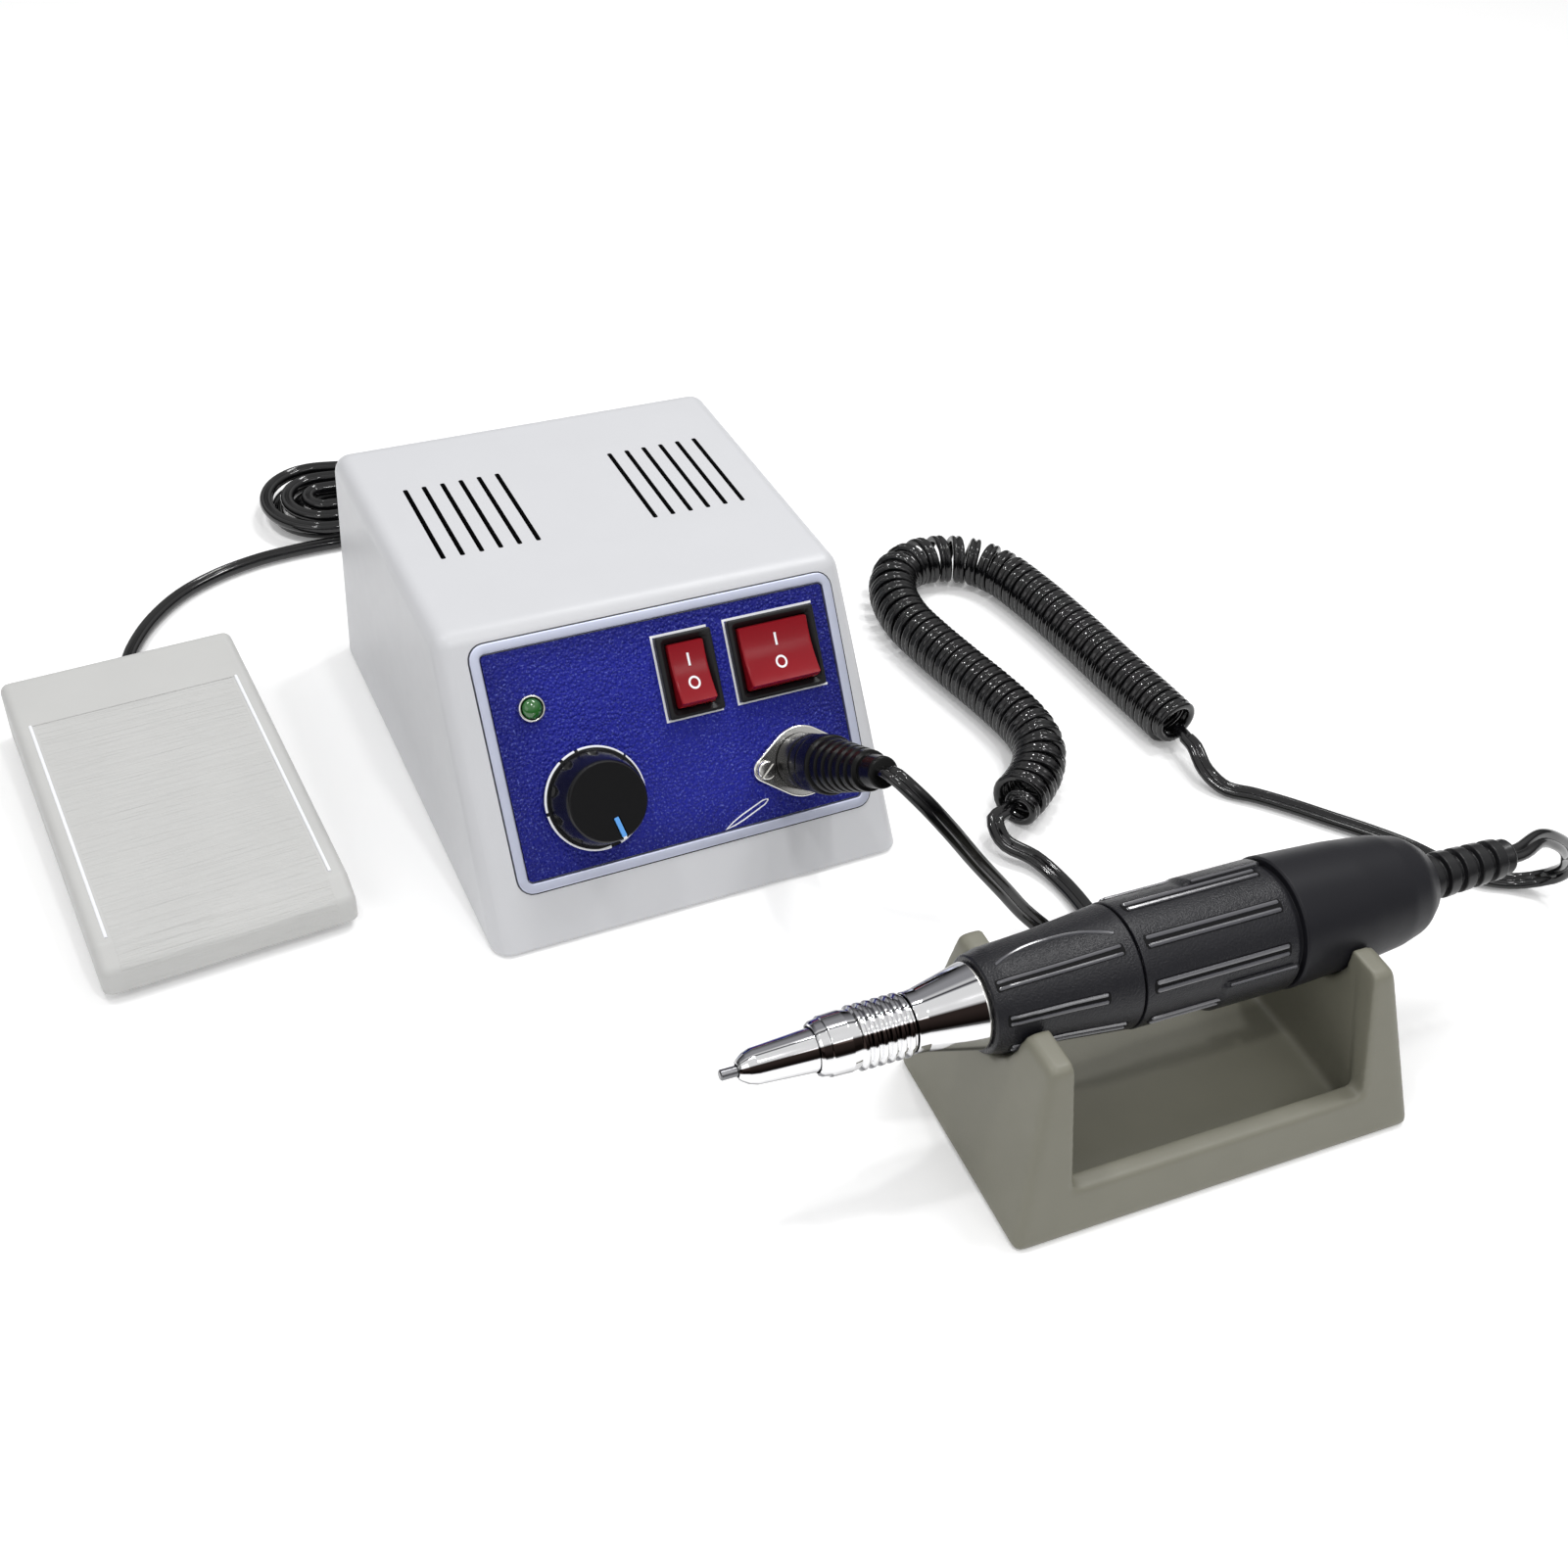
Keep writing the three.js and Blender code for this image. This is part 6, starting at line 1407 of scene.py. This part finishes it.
def hank_points():
    """The hank's run: loops that narrow on the lower layer and widen again on the upper one."""
    steps = 24
    total = HANK["loops"] * steps + steps / 6
    pitch = HANK["pitch"] / HANK["waist"]
    half = steps / 4
    centre = Vector((*HANK["centre"], FLOOR_LINE))
    points = []
    for step in range(int(total) + 1):
        away = step - total / 2
        inward = min(total / 2 - half, total / 2 - max(abs(away), half))
        point = hank_point(step / steps, HANK["radius"] - inward / steps * pitch)
        point.z = eased((away + half) / (2 * half)) * HANK["pitch"]
        points.append(centre + point)
    reach = Vector((2 * ROUND_CORD, 0, 0))
    return [points[0] - reach, *points, points[-1] + reach]


def build_pedal_cord(looks):
    width = 2 * ROUND_CORD
    section = twin_section(width, 3, 10)
    hank = hank_points()
    centres = smooth_path(hank, 2.2)
    bundle = cord_piece("tied_hank", "pedal_hank", "set", centres, section)
    x, y, z = GLAND
    gland = [in_set(PEDAL, x, y - 0.5, z), in_set(PEDAL, x, y + 4.5, z)]
    lead = smooth_path([*gland, *map(Vector, PEDAL_ROUTE), hank[0] - X_AXIS * STRAIGHT, hank[0]], 2)
    start = cord_piece("pedal_cord", "pedal_lead", "set", lead, section)
    back = on_back(JACK_PLACE)
    sleeve = [in_set(back, 0, 0, JACK_TAIL + STRAIGHT), in_set(back, 0, 0, JACK_TAIL - TUCK)]
    tail = smooth_path([hank[-1], hank[-1] + X_AXIS * STRAIGHT, *map(Vector, JACK_ROUTE), *sleeve], 2)
    end = cord_piece("jack_cord", "jack_lead", "set", tail, section)
    declare(lead, width)
    declare(centres, width)
    declare(tail, width)
    build_tie()


def build_tie():
    """A flat tie round the waist of the hank, its legs reaching down beside it."""
    x, y = HANK["centre"]
    half = HANK["radius"] * HANK["waist"] + ROUND_CORD + 0.6
    top = FLOOR_LINE + 3 * ROUND_CORD + 1.2
    rings = []
    for across, grow in ((-2.5, 1.1), (-2.2, 1.4), (2.2, 1.4), (2.5, 1.1)):
        arch = []
        for wide, high, soft in ((half + grow, top + grow, 5.4), (half, top, 4)):
            line = [(y - wide, GAP), (y - wide, high, soft), (y + wide, high, soft), (y + wide, GAP)]
            arch.append([(x + across, *point) for point in rounded(line, closed=False)])
        outside, inside = arch
        rings.append([*outside, *reversed(inside)])
    settle(stack(rings), "cord_tie", "set", "rubber_black", "rubber", SET, "hank_tie")


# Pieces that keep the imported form

KEPT = {
    "black": ("base_plate", "socket_insert", "filter_capacitor", "pedal_switch"),
    "rubber": ("foot_1", "foot_2", "foot_3", "foot_4"),
    "steel": ("pot_body", "pot_nut", "pot_shaft", "spindle", "motor_can", "front_bearing", "rear_bearing",
              "pedal_hinge_pin", "pedal_spring"),
    "core": ("transformer_core",),
    "copper": ("transformer_winding", "rotor"),
    "board": ("circuit_board",),
    "pedal_plain": ("pedal_base",),
}


def build_inside(looks):
    for finish, nodes in KEPT.items():
        for node in nodes:
            materials = frame["nodes"][node].data.materials
            materials.clear()
            materials.append(FINISHES[finish].material)


# Stage

# Place, target, size and power of each light
LIGHTS = {
    "key": ((0.5, 0.1, 1.0), (0.05, 0, 0), (0.2, 0.2), 2.5),
    "front": ((0.35, -0.75, 0.85), (0, 0, 0), (0.3, 0.2), 0.5),
    "fill": ((-0.75, -0.4, 0.5), (0.05, -0.05, 0), (0.7, 0.5), 0.9),
    "spark_1": ((0.25, 0.25, 0.8), (0.05, 0, 0), (0.05, 0.05), 1.0),
    "spark_2": ((-0.25, 0.15, 0.85), (0.05, 0, 0), (0.05, 0.05), 1.0),
    "spark_3": ((0.05, -0.35, 0.8), (0.05, 0, 0), (0.05, 0.05), 1.0),
}
CAMERA_PLACE = (-0.149842, -0.305029, 0.323441)
CAMERA_ANGLES = (49.246097, -3.694978, -25.302598)


def add_light(name, place, target, size, power):
    light = bpy.data.lights.new(name, "AREA")
    light.shape = "RECTANGLE"
    light.size, light.size_y = size
    light.energy = power
    item = bpy.data.objects.new(name, light)
    item.location = place
    item.rotation_euler = (Vector(target) - Vector(place)).to_track_quat("-Z", "Y").to_euler()
    bpy.context.scene.collection.objects.link(item)


def add_floor():
    """A near-white floor that glows a little, so that it stays white."""
    mesh = bmesh.new()
    bmesh.ops.create_grid(mesh, x_segments=1, y_segments=1, size=1)
    item = as_object(mesh)
    item.name = "floor"
    item.matrix_world = Matrix.Diagonal((4, 4, 1, 1))
    colour = (0.93, 0.93, 0.93)
    finish = Finish("floor", specular_ior_level=0.2, emission_color=(1, 1, 1, 1), emission_strength=0.14)
    finish.set("Base Color", finish.mix(shade(colour, 0.99), shade(colour, 1.01), finish.noise(300)))
    finish.set("Roughness", 0.7 + finish.noise(200) * 0.1)
    item.data.materials.append(finish.material)
    item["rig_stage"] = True


def add_camera(lens):
    camera = bpy.data.cameras.new("camera")
    camera.lens = lens
    camera.sensor_width = 36
    camera.clip_start = 0.01
    item = bpy.data.objects.new("camera", camera)
    item.location = CAMERA_PLACE
    item.rotation_euler = Euler([math.radians(angle) for angle in CAMERA_ANGLES])
    bpy.context.scene.collection.objects.link(item)
    bpy.context.scene.camera = item


def make_sky(strength):
    """Even light from above that falls off towards the horizon."""
    sky = Sky("studio")
    place = sky.node("ShaderNodeTexCoord", output="Generated")
    upward = sky.node("ShaderNodeSeparateXYZ", None, {0: place}, "Z")
    inputs = {"Value": upward, "From Min": 0.2, "From Max": 0.6, "To Min": 0.2 * strength, "To Max": strength}
    sky.set("Strength", sky.node("ShaderNodeMapRange", None, inputs))
    sky.set("Color", (1, 1, 1, 1))
    return sky.world


def build_stage(looks):
    scene = bpy.context.scene
    add_floor()
    add_camera(looks.sizes.lens)
    scene.world = make_sky(looks.sizes.daylight)
    scene.view_settings.view_transform = "Standard"
    scene.view_settings.look = "None"
    for name, settings in LIGHTS.items():
        add_light(name, *settings)


# Settings, operators and panel

def colour_setting(words, value):
    return FloatVectorProperty(name=words, description=f"Colour of the {words.lower()}", subtype="COLOR",
                               size=3, min=0, max=1, default=value)


class SetColours(bpy.types.PropertyGroup):
    """Colours of the main finishes."""

    housing: colour_setting("Housing", (0.57, 0.575, 0.595))
    panel: colour_setting("Panel", (0.013, 0.017, 0.235))
    trim: colour_setting("Trim", (0.62, 0.65, 0.78))
    rocker: colour_setting("Rockers", (0.24, 0.006, 0.012))
    lamp: colour_setting("Lamp", (0.015, 0.14, 0.018))
    pointer: colour_setting("Pointer", (0.1, 0.34, 0.78))
    grip: colour_setting("Grip", (0.01, 0.01, 0.013))
    cord: colour_setting("Cord", (0.003, 0.003, 0.0035))
    cradle: colour_setting("Cradle", (0.185, 0.18, 0.14))
    pedal: colour_setting("Pedal", (0.51, 0.51, 0.5))


class SetSizes(bpy.types.PropertyGroup):
    """Sizes that a user would change."""

    vents: IntProperty(name="Vents", description="Slots in each group on the lid", default=6, min=1, max=6)
    curls: IntProperty(name="Curls", description="Turns of the coiled cord", default=56, min=30, max=60)
    strand: FloatProperty(name="Flat cord", description="Width of the flat handset cord", default=0.0048,
                          min=0.003, max=0.005, unit="LENGTH")
    line: FloatProperty(name="Printed line", description="Width of the printed lines", default=0.0006,
                        min=0.0002, max=0.001, unit="LENGTH")
    lens: FloatProperty(name="Lens", description="Focal length of the camera in millimetres", default=41.2455,
                        min=10, max=200)
    daylight: FloatProperty(name="Daylight", description="Strength of the even light from all round",
                            default=0.79, min=0, max=3)


class SetLooks(bpy.types.PropertyGroup):
    """Everything the operators read."""

    sizes: PointerProperty(type=SetSizes, name="Sizes", description="Sizes of the pieces")
    colours: PointerProperty(type=SetColours, name="Colours", description="Colours of the finishes")


def done(build, context):
    """Runs one build function with the settings of the scene."""
    build(context.scene.micromotor_looks)
    return {"FINISHED"}


class MakeFinishes(bpy.types.Operator):
    """Makes the materials that the other steps use"""

    bl_idname = "micromotor.finishes"
    bl_label = "Finishes"

    def execute(self, context):
        FINISHES.update(make_finishes(context.scene.micromotor_looks.colours))
        return {"FINISHED"}


class AddStage(bpy.types.Operator):
    """Adds the floor, camera and lights"""

    bl_idname = "micromotor.stage"
    bl_label = "Stage"

    def execute(self, context):
        return done(build_stage, context)


class AddHousing(bpy.types.Operator):
    """Adds the housing of the control box with its vents"""

    bl_idname = "micromotor.housing"
    bl_label = "Housing"

    def execute(self, context):
        return done(build_housing, context)


class AddPanel(bpy.types.Operator):
    """Adds the blue panel, its trim and its printed lines"""

    bl_idname = "micromotor.panel"
    bl_label = "Panel"

    def execute(self, context):
        return done(build_panel, context)


class AddKnob(bpy.types.Operator):
    """Adds the speed knob with its pointer and ring"""

    bl_idname = "micromotor.knob"
    bl_label = "Knob"

    def execute(self, context):
        return done(build_knob, context)


class AddSwitches(bpy.types.Operator):
    """Adds the two rocker switches"""

    bl_idname = "micromotor.switches"
    bl_label = "Switches"

    def execute(self, context):
        return done(build_switches, context)


class AddLamp(bpy.types.Operator):
    """Adds the indicator lamp"""

    bl_idname = "micromotor.lamp"
    bl_label = "Lamp"

    def execute(self, context):
        return done(build_lamp, context)


class AddSocket(bpy.types.Operator):
    """Adds the handpiece socket with its screws"""

    bl_idname = "micromotor.socket"
    bl_label = "Socket"

    def execute(self, context):
        return done(build_socket, context)


class AddPlug(bpy.types.Operator):
    """Adds the plug of the handpiece cord"""

    bl_idname = "micromotor.plug"
    bl_label = "Plug"

    def execute(self, context):
        return done(build_plug, context)


class AddHandpiece(bpy.types.Operator):
    """Adds the handpiece with its bur and cord boot"""

    bl_idname = "micromotor.handpiece"
    bl_label = "Handpiece"

    def execute(self, context):
        return done(build_handpiece, context)


class AddCradle(bpy.types.Operator):
    """Adds the cradle"""

    bl_idname = "micromotor.cradle"
    bl_label = "Cradle"

    def execute(self, context):
        return done(build_cradle, context)


class AddPedal(bpy.types.Operator):
    """Adds the treadle of the foot pedal"""

    bl_idname = "micromotor.pedal"
    bl_label = "Pedal"

    def execute(self, context):
        return done(build_pedal, context)


class AddBack(bpy.types.Operator):
    """Adds the fittings of the back wall"""

    bl_idname = "micromotor.back"
    bl_label = "Back fittings"

    def execute(self, context):
        return done(build_back, context)


class AddHandsetCord(bpy.types.Operator):
    """Adds the coiled cord and its two flat leads"""

    bl_idname = "micromotor.handset_cord"
    bl_label = "Handset cord"

    def execute(self, context):
        return done(build_handset_cord, context)


class AddPedalCord(bpy.types.Operator):
    """Adds the pedal cord with its tied hank"""

    bl_idname = "micromotor.pedal_cord"
    bl_label = "Pedal cord"

    def execute(self, context):
        return done(build_pedal_cord, context)


class FinishInside(bpy.types.Operator):
    """Gives the pieces that keep their packed form their materials"""

    bl_idname = "micromotor.inside"
    bl_label = "Inner pieces"

    def execute(self, context):
        return done(build_inside, context)


STEPS = (MakeFinishes, AddStage, AddHousing, AddPanel, AddKnob, AddSwitches, AddLamp, AddSocket, AddPlug,
         AddHandpiece, AddCradle, AddPedal, AddBack, AddHandsetCord, AddPedalCord, FinishInside)


class MicromotorPanel(bpy.types.Panel):
    """Lists the settings and the steps in their order"""

    bl_idname = "VIEW3D_PT_micromotor"
    bl_label = "Micromotor set"
    bl_space_type = "VIEW_3D"
    bl_region_type = "UI"
    bl_category = "Micromotor"

    def draw(self, context):
        looks = context.scene.micromotor_looks
        for group in (looks.sizes, looks.colours):
            for name in group.bl_rna.properties.keys():
                if name not in ("rna_type", "name"):
                    self.layout.prop(group, name)
        for step in STEPS:
            self.layout.operator(step.bl_idname)


CLASSES = (SetColours, SetSizes, SetLooks, *STEPS, MicromotorPanel)


def register():
    for kind in CLASSES:
        bpy.utils.register_class(kind)
    bpy.types.Scene.micromotor_looks = PointerProperty(type=SetLooks)


def unregister():
    del bpy.types.Scene.micromotor_looks
    for kind in reversed(CLASSES):
        bpy.utils.unregister_class(kind)


def corners():
    return [[float(value) for value in corner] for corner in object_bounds()]


def main():
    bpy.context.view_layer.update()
    register()
    for step in STEPS:
        group, name = step.bl_idname.split(".")
        getattr(getattr(bpy.ops, group), name)()


if __name__ == "__main__":
    main()
